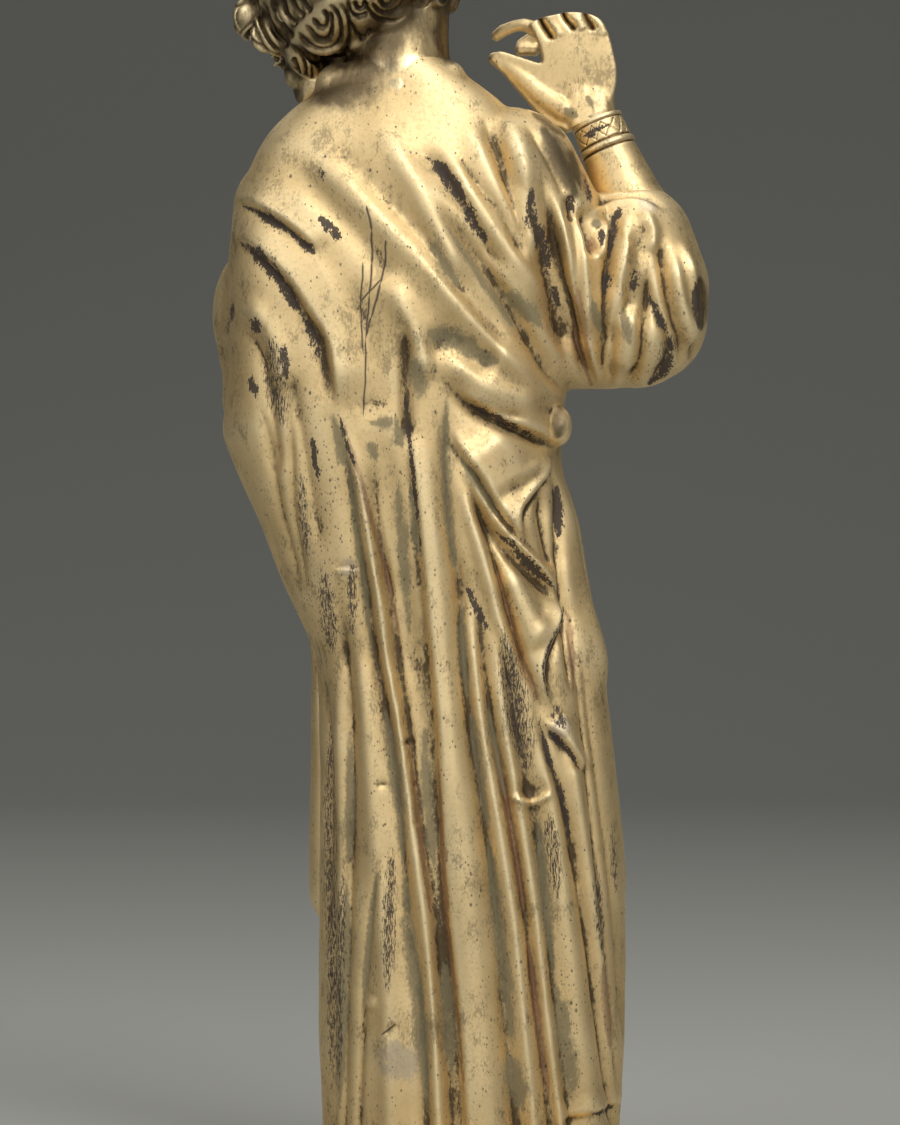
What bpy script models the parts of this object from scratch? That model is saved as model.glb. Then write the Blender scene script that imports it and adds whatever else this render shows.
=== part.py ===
"""A standing draped figure in gilt copper on a low base, with a raised hand seated in the hollow cuff."""

import math

import bmesh
import bpy
import numpy as np
from mathutils import Matrix, Vector

# Sizes in metres. The figure is drawn on a grid of parts: its height counts FIGURE_PARTS of them.
# X is across the back, Z is up, and the figure faces +Y.
FIGURE_HEIGHT = 0.245
FIGURE_PARTS = 1300.0
PART = FIGURE_HEIGHT / FIGURE_PARTS

BASE_HEIGHT = 0.009
BASE_MARGIN = 0.0042
BASE_CHAMFER = 0.0018
BASE_SIDES = 48
SEAT_GAP = 0.0003

SOCKET_RADIUS = 0.0035
SOCKET_DEPTH = 0.0055
CUFF_WALL = 0.0013
HAND_CLEARANCE = 0.0003
SOCKET_SIDES = 24

# Fineness of the surface: the grain of the joined and of the carved form, and the triangles that each piece keeps.
FIGURE_GRAIN = 4.6 * PART
CARVED_GRAIN = 3.2 * PART
HAND_GRAIN = 1.7 * PART
FIGURE_TRIANGLES = 8100
HAND_TRIANGLES = 1050

FIGURE_FOOT = BASE_HEIGHT + SEAT_GAP

# The draped body's outline: height, left edge, right edge, depth of the back, depth of the front.
BODY_ROWS = (
    (-14, -148, 149, 98, 98),
    (15, -148, 149, 99, 99),
    (97, -151, 155, 102, 101),
    (240, -150, 155, 103, 98),
    (365, -150, 146, 101, 94),
    (490, -154, 131, 97, 90),
    (556, -186, 115, 95, 92),
    (618, -209, 103, 96, 94),
    (662, -230, 93, 97, 94),
    (706, -248, 88, 98, 92),
    (753, -242, 98, 99, 88),
    (840, -240, 105, 98, 84),
    (895, -239, 112, 96, 80),
    (925, -236, 112, 93, 77),
    (960, -224, 92, 88, 72),
    (990, -211, 72, 80, 66),
    (1010, -198, 56, 72, 61),
    (1040, -168, 29, 59, 54),
    (1060, -134, 4, 49, 48),
    (1078, -113, -26, 42, 42),
)

# The front mantle hangs in front of the robe down to its own hem.
MANTLE_ROWS = (
    (214, -150, 152, -10, 116),
    (232, -163, 158, -6, 118),
    (300, -163, 155, -6, 116),
    (365, -162, 148, -6, 112),
    (490, -161, 132, -6, 106),
    (533, -172, 120, -6, 106),
    (600, -196, 108, -6, 108),
    (680, -236, 92, -6, 108),
    (730, -240, 92, -6, 100),
)

# Cloth that falls from the left forearm, in front of the left hip.
CASCADE_ROWS = (
    (500, -158, -122, 40, 104),
    (560, -186, -108, 40, 116),
    (640, -216, -96, 40, 126),
    (700, -232, -88, 40, 130),
    (760, -222, -92, 40, 122),
    (778, -210, -104, 40, 112),
)

# Head: centre and lean of the crown to the left, half sizes of the mass of hair.
HEAD_CENTRE = Vector((-135, 6, 1190))
HEAD_LEAN = math.radians(27.5)
HEAD_NOD = math.radians(5)
HAIR_HALF_WIDTH = 103
HAIR_HALF_DEPTH = 98
HAIR_HALF_HEIGHT = 110

# Raised forearm: the centre of the cuff's rim, and the way the forearm points.
CUFF_RIM = Vector((127.5, 30, 1022))
CUFF_AXIS = Vector((-0.37, 0.10, 0.925)).normalized()
CUFF_RADIUS = (SOCKET_RADIUS + CUFF_WALL) / PART


def clear_scene():
    for obj in list(bpy.data.objects):
        bpy.data.objects.remove(obj, do_unlink=True)


def named_collection(name, hidden=False):
    group = bpy.data.collections.new(name)
    bpy.context.scene.collection.children.link(group)
    group.hide_render = hidden
    return group


def plain_material(name, colour, metallic, roughness):
    material = bpy.data.materials.new(name)
    material.use_nodes = True
    shader = material.node_tree.nodes["Principled BSDF"]
    shader.inputs["Base Color"].default_value = (*colour, 1.0)
    shader.inputs["Metallic"].default_value = metallic
    shader.inputs["Roughness"].default_value = roughness
    material.diffuse_color = (*colour, 1.0)
    return material


# Closed forms that the figure is put together from


def add_ball(bm, place, segments, rings):
    """A ball of radius 1 under the given placing. It is made by itself and then added, which is quicker."""
    alone = bmesh.new()
    bmesh.ops.create_uvsphere(alone, u_segments=segments, v_segments=rings, radius=1.0, matrix=place)
    mesh = bpy.data.meshes.new("ball")
    alone.to_mesh(mesh)
    alone.free()
    bm.from_mesh(mesh)
    bpy.data.meshes.remove(mesh)


def lobe(bm, centre, radii, turn=None, segments=24, rings=14):
    """An egg with three half sizes, turned about its centre."""
    place = Matrix.Translation(Vector(centre)) @ (turn or Matrix.Identity(4))
    add_ball(bm, place @ Matrix.Diagonal((*radii, 1.0)), segments, rings)


def limb(bm, path, segments=20):
    """Tapered round lengths through (x, y, z, radius) stations, with a ball at each station."""
    for x, y, z, radius in path:
        lobe(bm, (x, y, z), (radius, radius, radius), segments=segments, rings=segments // 2)
    for a, b in zip(path, path[1:]):
        start = Vector(a[:3])
        end = Vector(b[:3])
        turn = (end - start).to_track_quat("Z", "Y").to_matrix().to_4x4()
        place = Matrix.Translation((start + end) / 2) @ turn
        length = (end - start).length
        bmesh.ops.create_cone(
            bm, cap_ends=True, segments=segments, radius1=a[3], radius2=b[3], depth=length, matrix=place
        )


def eased_rows(rows, step=6.0):
    """The rows read every few parts up the height, and eased so that no kink is left between them."""
    table = np.array(rows, float)
    heights = np.arange(table[0, 0], table[-1, 0] + step / 2, step)
    columns = [np.interp(heights, table[:, 0], table[:, i]) for i in range(1, table.shape[1])]
    kernel = np.array((1, 2, 3, 2, 1)) / 9
    eased = [np.convolve(np.pad(column, 2, mode="edge"), kernel, mode="valid") for column in columns]
    return np.column_stack([heights, *eased])


def skirted_form(bm, rows, fullness=2.35, segments=72):
    """A loft of rounded sections: each row gives a height, left and right edges, back and front depths."""
    table = eased_rows(rows)
    ring = bmesh.ops.create_circle(bm, segments=segments, radius=1.0)["verts"]
    edges = list({edge for vert in ring for edge in vert.link_edges})
    first = edges
    angles = [math.atan2(vert.co.y, vert.co.x) for vert in ring]
    for number, row in enumerate(table):
        if number:
            made = bmesh.ops.extrude_edge_only(bm, edges=edges)["geom"]
            below = ring
            ring = [
                next(edge.other_vert(vert) for edge in vert.link_edges if edge.other_vert(vert) in made)
                for vert in below
            ]
            edges = [item for item in made if isinstance(item, bmesh.types.BMEdge) and
                     item.verts[0] in ring and item.verts[1] in ring]
        height, left, right, back, front = row
        for vert, angle in zip(ring, angles):
            across = math.copysign(abs(math.cos(angle)) ** (2 / fullness), math.cos(angle))
            deep = math.copysign(abs(math.sin(angle)) ** (2 / fullness), math.sin(angle))
            half = (right - left) / 2
            middle = (front - back) / 2
            vert.co = (
                (left + right) / 2 + half * across,
                middle + (front + back) / 2 * deep,
                height,
            )
    bmesh.ops.contextual_create(bm, geom=first)
    bmesh.ops.contextual_create(bm, geom=edges)


# Carving: strokes that raise or sink the surface along its normals


def smooth_path(points, spacing=7.0):
    """A rounded line through a stroke's few points."""
    knots = [np.array(point, float) for point in points]
    if len(knots) == 2:
        knots = [knots[0], (knots[0] + knots[1]) / 2, knots[1]]
    ends = [2 * knots[0] - knots[1], *knots, 2 * knots[-1] - knots[-2]]
    line = []
    for a, b, c, d in zip(ends, ends[1:], ends[2:], ends[3:]):
        count = max(2, int(np.linalg.norm(c - b) / spacing))
        for t in np.arange(count) / count:
            line.append(
                0.5 * (2 * b + (c - a) * t + (2 * a - 5 * b + 4 * c - d) * t**2
                       + (3 * b - a - 3 * c + d) * t**3)
            )
    line.append(knots[-1])
    return np.array(line)


def along(flat, points):
    """For flat points: the signed distance to the stroke, and how far along it the nearest point is."""
    line = smooth_path(points)
    lengths = np.linalg.norm(np.diff(line, axis=0), axis=1)
    starts = np.concatenate([[0], np.cumsum(lengths)])
    best = np.full(len(flat), 1e9)
    signed = np.full(len(flat), 1e9)
    share = np.zeros(len(flat))
    for number, (a, b) in enumerate(zip(line, line[1:])):
        way = (b - a) / lengths[number]
        offset = flat - a
        t = np.clip(offset @ way, 0, lengths[number])
        gap = offset - t[:, None] * way
        distance = np.hypot(gap[:, 0], gap[:, 1])
        near = distance < best
        side = np.where(way[0] * offset[:, 1] - way[1] * offset[:, 0] > 0, 1.0, -1.0)
        best[near] = distance[near]
        signed[near] = (distance * side)[near]
        share[near] = ((starts[number] + t) / starts[-1])[near]
    return signed, share


def stroke(flat, kind, width, depth, points, fade=0.22):
    """The height that one stroke adds: a valley, a ridge, or a lap where one layer of cloth lies on another."""
    knots = np.array(points, float)
    reach = 4.5 * width
    inside = (
        (flat[:, 0] > knots[:, 0].min() - reach) & (flat[:, 0] < knots[:, 0].max() + reach)
        & (flat[:, 1] > knots[:, 1].min() - reach) & (flat[:, 1] < knots[:, 1].max() + reach)
    )
    height = np.zeros(len(flat))
    if not inside.any():
        return height
    signed, share = along(flat[inside], points)
    ends = np.clip(np.minimum(share, 1 - share) / fade, 0, 1)
    ends = ends * ends * (3 - 2 * ends)
    beyond = np.clip(1 - np.abs(signed) / reach, 0, 1)
    if kind == "valley":
        shape = -np.exp(-np.abs(signed / width) ** 1.7)
    elif kind == "ridge":
        shape = np.exp(-np.abs(signed / width) ** 1.7)
    else:
        high = np.exp(-np.clip(signed, 0, None) / (2.2 * width))
        low = -0.8 * np.exp(-np.clip(-signed, 0, None) / width)
        step = 1 / (1 + np.exp(-np.clip(signed / (0.16 * width), -30, 30)))
        shape = step * high + (1 - step) * low
    height[inside] = depth * shape * ends * np.minimum(1, 3 * beyond)
    return height


def facing(normals, side):
    """How far a surface looks to the back (side -1) or the front (side 1), from 0 to 1."""
    turned = np.clip((normals[:, 1] * side + 0.05) / 0.4, 0, 1)
    return turned * turned * (3 - 2 * turned)


# How much deeper than its drawn depth each fold of the back is cut.
BACK_DEEPENING = 1.35

# Folds of the back. Each row: kind, half width, depth, then the fold's line as (across, height) stations.
BACK_FOLDS = (
    # over the left shoulder, falling to the middle of the back
    ("ridge", 11, 6, (-166, 1001), (-97, 928), (-11, 830)),
    ("valley", 11, 4, (-176, 975), (-112, 905), (-40, 822)),
    ("ridge", 10, 4, (-97, 1005), (-66, 969), (-40, 918)),
    ("lap", 9, 6, (-236, 942), (-182, 915), (-145, 880)),
    ("lap", 11, 9, (-238, 907), (-184, 858), (-152, 805), (-136, 745)),
    ("ridge", 8, 3, (-213, 979), (-182, 948), (-150, 938)),
    ("valley", 9, 5, (-232, 842), (-205, 812), (-184, 770), (-180, 700)),
    # between the shoulders
    ("ridge", 10, 5, (-84, 870), (-68, 836), (-50, 790), (-46, 740)),
    ("valley", 8, 5, (-100, 850), (-84, 800), (-72, 740), (-66, 690)),
    # over the right shoulder, gathering under the raised arm
    ("valley", 9, 8, (-49, 991), (-11, 950), (22, 898), (58, 840)),
    ("ridge", 9, 6, (0, 1014), (22, 960), (50, 900), (68, 850)),
    ("valley", 6, 5, (22, 992), (37, 952), (52, 900), (66, 850)),
    ("ridge", 7, 5, (33, 990), (50, 950), (68, 900), (78, 850)),
    ("valley", 8, 8, (62, 950), (70, 905), (82, 858), (98, 800)),
    ("ridge", 7, 6, (76, 960), (90, 904), (98, 856), (112, 800), (122, 765)),
    ("valley", 9, 9, (-19, 917), (31, 845), (60, 800), (100, 751)),
    ("ridge", 9, 7, (-34, 860), (-5, 827), (27, 795), (60, 765), (88, 752)),
    ("valley", 8, 6, (-40, 820), (-10, 788), (25, 762), (60, 748)),
    ("ridge", 7, 6, (40, 835), (66, 804), (92, 776), (113, 750)),
    # the raised sleeve
    ("valley", 8, 9, (117, 936), (116, 900), (117, 852), (127, 765)),
    ("valley", 6, 6, (136, 827), (136, 790), (135, 752)),
    ("valley", 8, 8, (184, 880), (178, 835), (172, 795), (158, 758)),
    ("valley", 7, 7, (196, 905), (201, 856), (211, 808), (204, 775)),
    ("ridge", 9, 5, (152, 930), (150, 880), (154, 830), (150, 780)),
    ("lap", 7, 5, (206, 930), (184, 944), (160, 949), (136, 944), (112, 924)),
    # under the arm, and the hanging end of the mantle
    ("valley", 7, 8, (-8, 741), (25, 726), (61, 708), (84, 695)),
    ("lap", 9, 8, (-20, 714), (-2, 690), (28, 640), (56, 598)),
    ("lap", 8, 7, (50, 608), (58, 645), (80, 680)),
    ("valley", 8, 7, (-14, 702), (10, 643), (43, 595), (86, 553)),
    ("ridge", 8, 5, (79, 690), (96, 640), (110, 581), (118, 500)),
    ("valley", 7, 7, (84, 667), (88, 610), (87, 545)),
    ("lap", 8, 6, (79, 432), (70, 490), (84, 538)),
    ("lap", 7, 5, (74, 414), (92, 399), (113, 370)),
    # the long folds, fanning out from the waist to the hem
    ("valley", 9, 5, (-208, 640), (-180, 550), (-152, 440), (-146, 330)),
    ("valley", 9, 9, (-128, 460), (-122, 365), (-128, 140), (-135, -190)),
    ("ridge", 8, 5, (-141, 790), (-125, 715), (-85, 550), (-45, 240), (-30, -60)),
    ("valley", 11, 9, (-142, 768), (-108, 600), (-78, 365), (-49, 140), (-44, -190)),
    ("ridge", 11, 4, (-120, 600), (-100, 365), (-90, 140), (-88, -170)),
    ("valley", 12, 9, (-70, 745), (-68, 590), (-42, 365), (-24, 140), (-12, -190)),
    ("ridge", 9, 5, (-40, 700), (-34, 590), (-14, 365), (8, 140), (20, -190)),
    ("valley", 11, 11, (-16, 725), (-8, 540), (8, 365), (34, 140), (54, -190)),
    ("ridge", 9, 4, (6, 620), (22, 365), (46, 140), (66, -170)),
    ("valley", 5, 5, (0, 560), (31, 365), (60, 140), (80, -170)),
    ("ridge", 9, 4, (18, 600), (44, 365), (74, 140), (92, -170)),
    ("valley", 11, 10, (26, 520), (54, 365), (82, 140), (112, -170)),
    ("ridge", 9, 4, (52, 500), (68, 365), (98, 140), (128, -170)),
    ("valley", 7, 8, (62, 510), (82, 365), (116, 200), (160, -60)),
    ("ridge", 7, 4, (78, 500), (98, 365), (122, 240), (142, 100)),
    ("valley", 6, 6, (98, 490), (116, 354), (128, 240), (142, 130)),
    ("valley", 6, 6, (106, 640), (130, 365), (148, 190), (158, -60)),
)

# Folds of the front, plainer: swags between the arms, then long folds, the mantle's hem, the robe below.
SWAG_COUNT = 6
FRONT_FAN_COUNT = 7
ROBE_FAN_COUNT = 9


def front_folds():
    folds = []
    for number in range(SWAG_COUNT):
        share = number / (SWAG_COUNT - 1)
        top = 990 - 200 * share
        drop = 62 + 95 * share
        left = -165 - 50 * share
        right = 50 + 60 * share
        line = []
        for step in range(7):
            way = step / 3 - 1
            across = (left + right) / 2 + (right - left) / 2 * way
            line.append((across, top - 30 * share * (1 - way) / 2 - drop * (1 - abs(way) ** 2.2)))
        folds.append(("valley", 8, 7, *line))
        folds.append(("ridge", 9, 4, *((x, z - 18) for x, z in line)))
    folds.append(("lap", 8, 5, (-146, 1046), (-122, 1000), (-78, 972), (-34, 1000), (-8, 1046)))
    for number in range(FRONT_FAN_COUNT):
        share = number / (FRONT_FAN_COUNT - 1)
        top = -150 + 200 * share
        foot = -140 + 285 * share
        start = 560 + 60 * math.sin(math.pi * share)
        folds.append(("valley", 10, 9, (top, start), ((top * 0.6 + foot * 0.4), 430), (foot, 240), (foot * 1.03, 200)))
        folds.append(("ridge", 9, 5, (top + 20, start - 20), (top * 0.6 + foot * 0.4 + 21, 420), (foot + 21, 240)))
    for number in range(ROBE_FAN_COUNT):
        share = number / (ROBE_FAN_COUNT - 1)
        place = -128 + 256 * share
        folds.append(("valley", 8, 8, (place * 0.96, 225), (place, 120), (place * 1.06, -120)))
        folds.append(("ridge", 7, 4, (place * 0.96 + 15, 225), (place + 15, 120), (place * 1.06 + 15, -120)))
    return folds


def carve(coords, normals, folds, side, deepening):
    flat = coords[:, (0, 2)]
    height = np.zeros(len(coords))
    for kind, width, depth, *points in folds:
        height += stroke(flat, kind, width, depth * deepening, points)
    low = np.clip((1078 - coords[:, 2]) / 20, 0, 1)
    return coords + normals * (height * facing(normals, side) * low)[:, None]


# Head and hair


def head_frame():
    """From the head's own axes (right, forward, up, with the face to +Y) to the figure's grid."""
    lean = Matrix.Rotation(-HEAD_LEAN, 4, "Y")
    nod = Matrix.Rotation(-HEAD_NOD, 4, "X")
    return Matrix.Translation(HEAD_CENTRE) @ lean @ nod


def curl_places():
    """Rows of curls round the back and sides and over the brow: azimuth (0 at the back), height, size."""
    places = []
    for row, (height, count, size, opening) in enumerate(
        ((-88, 11, 23, 62), (-52, 13, 22, 56), (-14, 13, 21, 52), (24, 12, 20, 48), (58, 11, 19, 36), (84, 11, 15, 2))
    ):
        for number in range(count):
            azimuth = -180 + opening + (360 - 2 * opening) * (number + 0.5 * (row % 2)) / (count - 0.5)
            if abs(azimuth) <= 180 - opening:
                places.append((math.radians(azimuth), height, size))
    return places


def hair_point(azimuth, height, proud=0.0):
    """A point on the mass of hair, azimuth 0 at the back, positive to the figure's right."""
    level = max(0.0, 1 - abs(height / HAIR_HALF_HEIGHT) ** 3.2) ** (1 / 3.2)
    level = max(level, 0.55) if height < 0 else level
    x = math.sin(azimuth) * HAIR_HALF_WIDTH * level
    y = -math.cos(azimuth) * HAIR_HALF_DEPTH * level
    out = Vector((x, y, height * 0.4)).normalized()
    return Vector((x, y, height)) + out * proud


def head_form(bm):
    frame = head_frame()

    def egg(centre, radii, turn=None):
        place = frame @ Matrix.Translation(Vector(centre)) @ (turn or Matrix.Identity(4))
        add_ball(bm, place @ Matrix.Diagonal((*radii, 1.0)), 24, 14)

    egg((0, 0, 18), (80, 90, 90))
    egg((0, 26, -28), (58, 58, 64))
    egg((0, 50, -66), (34, 33, 32))
    egg((0, 74, -88), (15, 14, 13))
    for side in (-1, 1):
        egg((side * 34, 62, -26), (22, 24, 24))
        egg((side * 27, 79, 5), (14, 11, 8))
        egg((side * 9, 93, -37), (7, 8, 6))
        egg((side * 27, 82, 24), (20, 8, 6), Matrix.Rotation(side * 0.16, 4, "Y"))
    for share in (0, 0.25, 0.5, 0.75, 1):
        egg((0, 86 + 18 * share, 12 - 46 * share), (7.5 + 2.5 * share, 12, 9))
    egg((0, 91, -55), (19, 8, 5.5))
    egg((0, 89, -64), (15, 8, 5.5))
    egg((0, -6, 22), (HAIR_HALF_WIDTH - 7, HAIR_HALF_DEPTH - 8, HAIR_HALF_HEIGHT - 20))
    egg((0, -16, -28), (HAIR_HALF_WIDTH - 9, HAIR_HALF_DEPTH - 20, 70))
    egg((0, -20, -62), (HAIR_HALF_WIDTH - 18, HAIR_HALF_DEPTH - 26, 42))
    for side in (-1, 1):
        egg((side * (HAIR_HALF_WIDTH - 27), 14, -52), (22, 44, 54))
    for azimuth, height, size in curl_places():
        point = hair_point(azimuth, height, -9)
        turn = Vector((point.x, point.y, point.z * 0.4)).to_track_quat("Z", "Y").to_matrix().to_4x4()
        egg(point, (size, size, size * 0.62), turn)


def volutes(coords, normals):
    """Winds a groove into each curl, and draws the locks of the crown down to them."""
    frame = head_frame()
    back = np.array(frame.inverted())
    local = coords @ back[:3, :3].T + back[:3, 3]
    height = np.zeros(len(coords))
    for number, (azimuth, level, size) in enumerate(curl_places()):
        centre = np.array(hair_point(azimuth, level))
        out = np.array((centre[0], centre[1], centre[2] * 0.4))
        out /= np.linalg.norm(out)
        side = np.cross((0, 0, 1.0), out)
        side /= np.linalg.norm(side)
        rise = np.cross(out, side)
        offset = local - centre
        radius = np.hypot(offset @ side, offset @ rise)
        turn = np.arctan2(offset @ rise, (offset @ side) * (1 if number % 2 else -1))
        wound = radius / 11.0 - turn / (2 * math.pi)
        near = np.clip(1 - (radius / (size * 1.05)) ** 4, 0, 1) * (np.abs(offset @ out) < 30)
        height += 3.4 * np.cos(2 * math.pi * wound) * near
    crown = np.clip((local[:, 2] - 78) / 14, 0, 1)
    spin = np.arctan2(local[:, 0], -local[:, 1])
    hair = np.clip(1 - (local[:, 1] - 62) / 14, 0, 1)
    fall = np.hypot(local[:, 0], local[:, 1])
    height += 4.2 * np.cos(17 * spin + 2.2 * np.sin(fall / 17)) * crown * hair * np.clip(fall / 40, 0, 1)
    return coords + normals * height[:, None]


# The figure


def body_form(bm):
    skirted_form(bm, BODY_ROWS)
    skirted_form(bm, MANTLE_ROWS)
    limb(bm, ((-70, -2, 1030, 56), (-74, 0, 1090, 52), (-88, 2, 1150, 58)))
    # collar of the mantle round the neck
    limb(bm, ((-130, -14, 1050, 26), (-100, -32, 1058, 20), (-62, -34, 1062, 18), (-24, -20, 1058, 20)))
    # right upper arm, elbow and the full sleeve
    limb(bm, ((40, -4, 962, 70), (112, 2, 838, 62)))
    limb(bm, ((105, 4, 803, 52), (150, 8, 805, 54), (188, 12, 806, 52)))
    limb(bm, ((188, 12, 812, 52), (181, 14, 852, 59), (168, 18, 900, 56)))
    limb(bm, ((166, 19, 905, 50), (160, 21, 925, 40)))
    sleeve_end(bm)
    limb(bm, ((100, 0, 880, 55), (150, 10, 860, 60)))
    # little knob of cloth under the elbow
    lobe(bm, (89, -40, 712), (12, 16, 20))
    # left upper arm, elbow, and the cloth bundled over the forearm
    limb(bm, ((-178, 2, 930, 58), (-200, 10, 800, 50), (-202, 20, 740, 46)))
    limb(bm, ((-205, 26, 742, 44), (-176, 84, 752, 40), (-130, 116, 770, 27)))
    lobe(bm, (-219, 34, 826), (40, 44, 68))
    lobe(bm, (-226, 18, 800), (28, 30, 54))
    skirted_form(bm, CASCADE_ROWS, segments=40)
    # left hand, closed on a fold at the waist
    lobe(bm, (-104, 122, 774), (24, 13, 21), Matrix.Rotation(0.2, 4, "Y"))
    for number in range(4):
        height = 790 - 10.5 * number
        limb(bm, ((-96, 128, height, 6.6), (-78, 131, height - 3, 6.4), (-70, 122, height - 6, 6)), segments=12)
    limb(bm, ((-104, 132, 792, 7), (-88, 138, 797, 6.5), (-76, 137, 795, 5.5)), segments=12)
    # shoe tips under the robe
    lobe(bm, (-62, 92, -2), (26, 42, 17))
    lobe(bm, (58, 92, -2), (26, 42, 17))
    forearm(bm)
    head_form(bm)


def sleeve_end(bm):
    """The sleeve stops at a plain edge, a little wider than the forearm that comes out of it."""
    place = Matrix.Translation((159, 22, 927)) @ Matrix.Rotation(-0.08, 4, "Y")
    bmesh.ops.create_cone(bm, cap_ends=True, segments=32, radius1=52, radius2=40, depth=42, matrix=place)


def forearm(bm):
    low = CUFF_RIM - CUFF_AXIS * 118
    turn = CUFF_AXIS.to_track_quat("Z", "Y").to_matrix().to_4x4()
    stations = ((0, 42), (34, 34), (78, 28.5), (118, CUFF_RADIUS))
    for (a, ra), (b, rb) in zip(stations, stations[1:]):
        place = Matrix.Translation(low + CUFF_AXIS * (a + b) / 2) @ turn
        bmesh.ops.create_cone(
            bm, cap_ends=True, segments=32, radius1=ra, radius2=rb, depth=b - a, matrix=place
        )
    for start, rise, proud in ((92, 3.0, 2.2), (113, 5.0, 1.6)):
        place = Matrix.Translation(low + CUFF_AXIS * (start + rise / 2)) @ turn
        bmesh.ops.create_cone(
            bm, cap_ends=True, segments=32, radius1=CUFF_RADIUS + proud, radius2=CUFF_RADIUS + proud,
            depth=rise, matrix=place
        )


def joined(bm, name, grain, group):
    """The forms made one closed skin of even grain, in metres."""
    mesh = bpy.data.meshes.new(name)
    bm.to_mesh(mesh)
    bm.free()
    mesh.transform(Matrix.Translation((0, 0, FIGURE_FOOT)) @ Matrix.Diagonal((PART, PART, PART, 1.0)))
    obj = bpy.data.objects.new(name, mesh)
    group.objects.link(obj)
    return reskin(obj, grain)


def reskin(obj, grain):
    """One closed skin of even grain round all that the object's forms fill."""
    remesh = obj.modifiers.new("One skin", "REMESH")
    remesh.mode = "VOXEL"
    remesh.voxel_size = grain
    return settled(obj)


def settled(obj):
    """The object's mesh with its modifiers worked in."""
    bpy.context.view_layer.update()
    depsgraph = bpy.context.evaluated_depsgraph_get()
    made = bpy.data.meshes.new_from_object(obj.evaluated_get(depsgraph), depsgraph=depsgraph)
    old = obj.data
    obj.modifiers.clear()
    obj.data = made
    bpy.data.meshes.remove(old)
    made.name = obj.name
    return obj


def relax(obj, times, factor=0.5):
    smooth = obj.modifiers.new("Relax", "SMOOTH")
    smooth.factor = factor
    smooth.iterations = times
    return settled(obj)


def thin_out(obj, triangles):
    faces = sum(len(polygon.vertices) - 2 for polygon in obj.data.polygons)
    decimate = obj.modifiers.new("Fewer faces", "DECIMATE")
    decimate.ratio = min(1.0, triangles / faces)
    return settled(obj)


def surface(obj):
    """The mesh's points and normals, in the figure's grid."""
    count = len(obj.data.vertices)
    coords = np.empty(count * 3)
    normals = np.empty(count * 3)
    obj.data.vertices.foreach_get("co", coords)
    obj.data.vertices.foreach_get("normal", normals)
    coords = (coords.reshape(-1, 3) - (0, 0, FIGURE_FOOT)) / PART
    return coords, normals.reshape(-1, 3)


def reshape(obj, coords):
    obj.data.vertices.foreach_set("co", (coords * PART + (0, 0, FIGURE_FOOT)).ravel())
    obj.data.update()


def cut_flat(obj, point, normal):
    """Cuts the mesh off flat at a plane, drops what lies beyond it and closes the cut."""
    bm = bmesh.new()
    bm.from_mesh(obj.data)
    cut = bmesh.ops.bisect_plane(
        bm, geom=bm.verts[:] + bm.edges[:] + bm.faces[:], plane_co=point, plane_no=normal, clear_outer=True
    )["geom_cut"]
    rim = [item for item in cut if isinstance(item, bmesh.types.BMEdge)]
    bmesh.ops.holes_fill(bm, edges=rim, sides=0)
    bmesh.ops.triangulate(bm, faces=[face for face in bm.faces if len(face.verts) > 4])
    bmesh.ops.recalc_face_normals(bm, faces=bm.faces)
    bm.to_mesh(obj.data)
    bm.free()


def make_figure(group):
    bm = bmesh.new()
    body_form(bm)
    obj = joined(bm, "figure", FIGURE_GRAIN, group)
    relax(obj, 5)
    coords, normals = surface(obj)
    coords = carve(coords, normals, BACK_FOLDS, -1, BACK_DEEPENING)
    coords = carve(coords, normals, front_folds(), 1, 1.0)
    reshape(obj, coords)
    reskin(obj, CARVED_GRAIN)
    coords, normals = surface(obj)
    reshape(obj, volutes(coords, normals))
    thin_out(obj, FIGURE_TRIANGLES)
    cut_flat(obj, (0, 0, FIGURE_FOOT), (0, 0, -1))
    return obj


def rim_place(offset):
    """A place on the forearm's axis, so many metres beyond the cuff's rim."""
    rim = CUFF_RIM * PART + Vector((0, 0, FIGURE_FOOT))
    return rim + CUFF_AXIS * offset


def round_along(name, radius, start, end, group):
    """A cylinder on the forearm's axis, from start to end metres beyond the rim."""
    bm = bmesh.new()
    turn = CUFF_AXIS.to_track_quat("Z", "Y").to_matrix().to_4x4()
    place = Matrix.Translation(rim_place((start + end) / 2)) @ turn
    bmesh.ops.create_cone(
        bm, cap_ends=True, segments=SOCKET_SIDES, radius1=radius, radius2=radius, depth=end - start, matrix=place
    )
    mesh = bpy.data.meshes.new(name)
    bm.to_mesh(mesh)
    bm.free()
    obj = bpy.data.objects.new(name, mesh)
    group.objects.link(obj)
    return obj


def combine(obj, other, operation):
    boolean = obj.modifiers.new(operation.title(), "BOOLEAN")
    boolean.operation = operation
    boolean.solver = "EXACT"
    boolean.object = other


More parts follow.
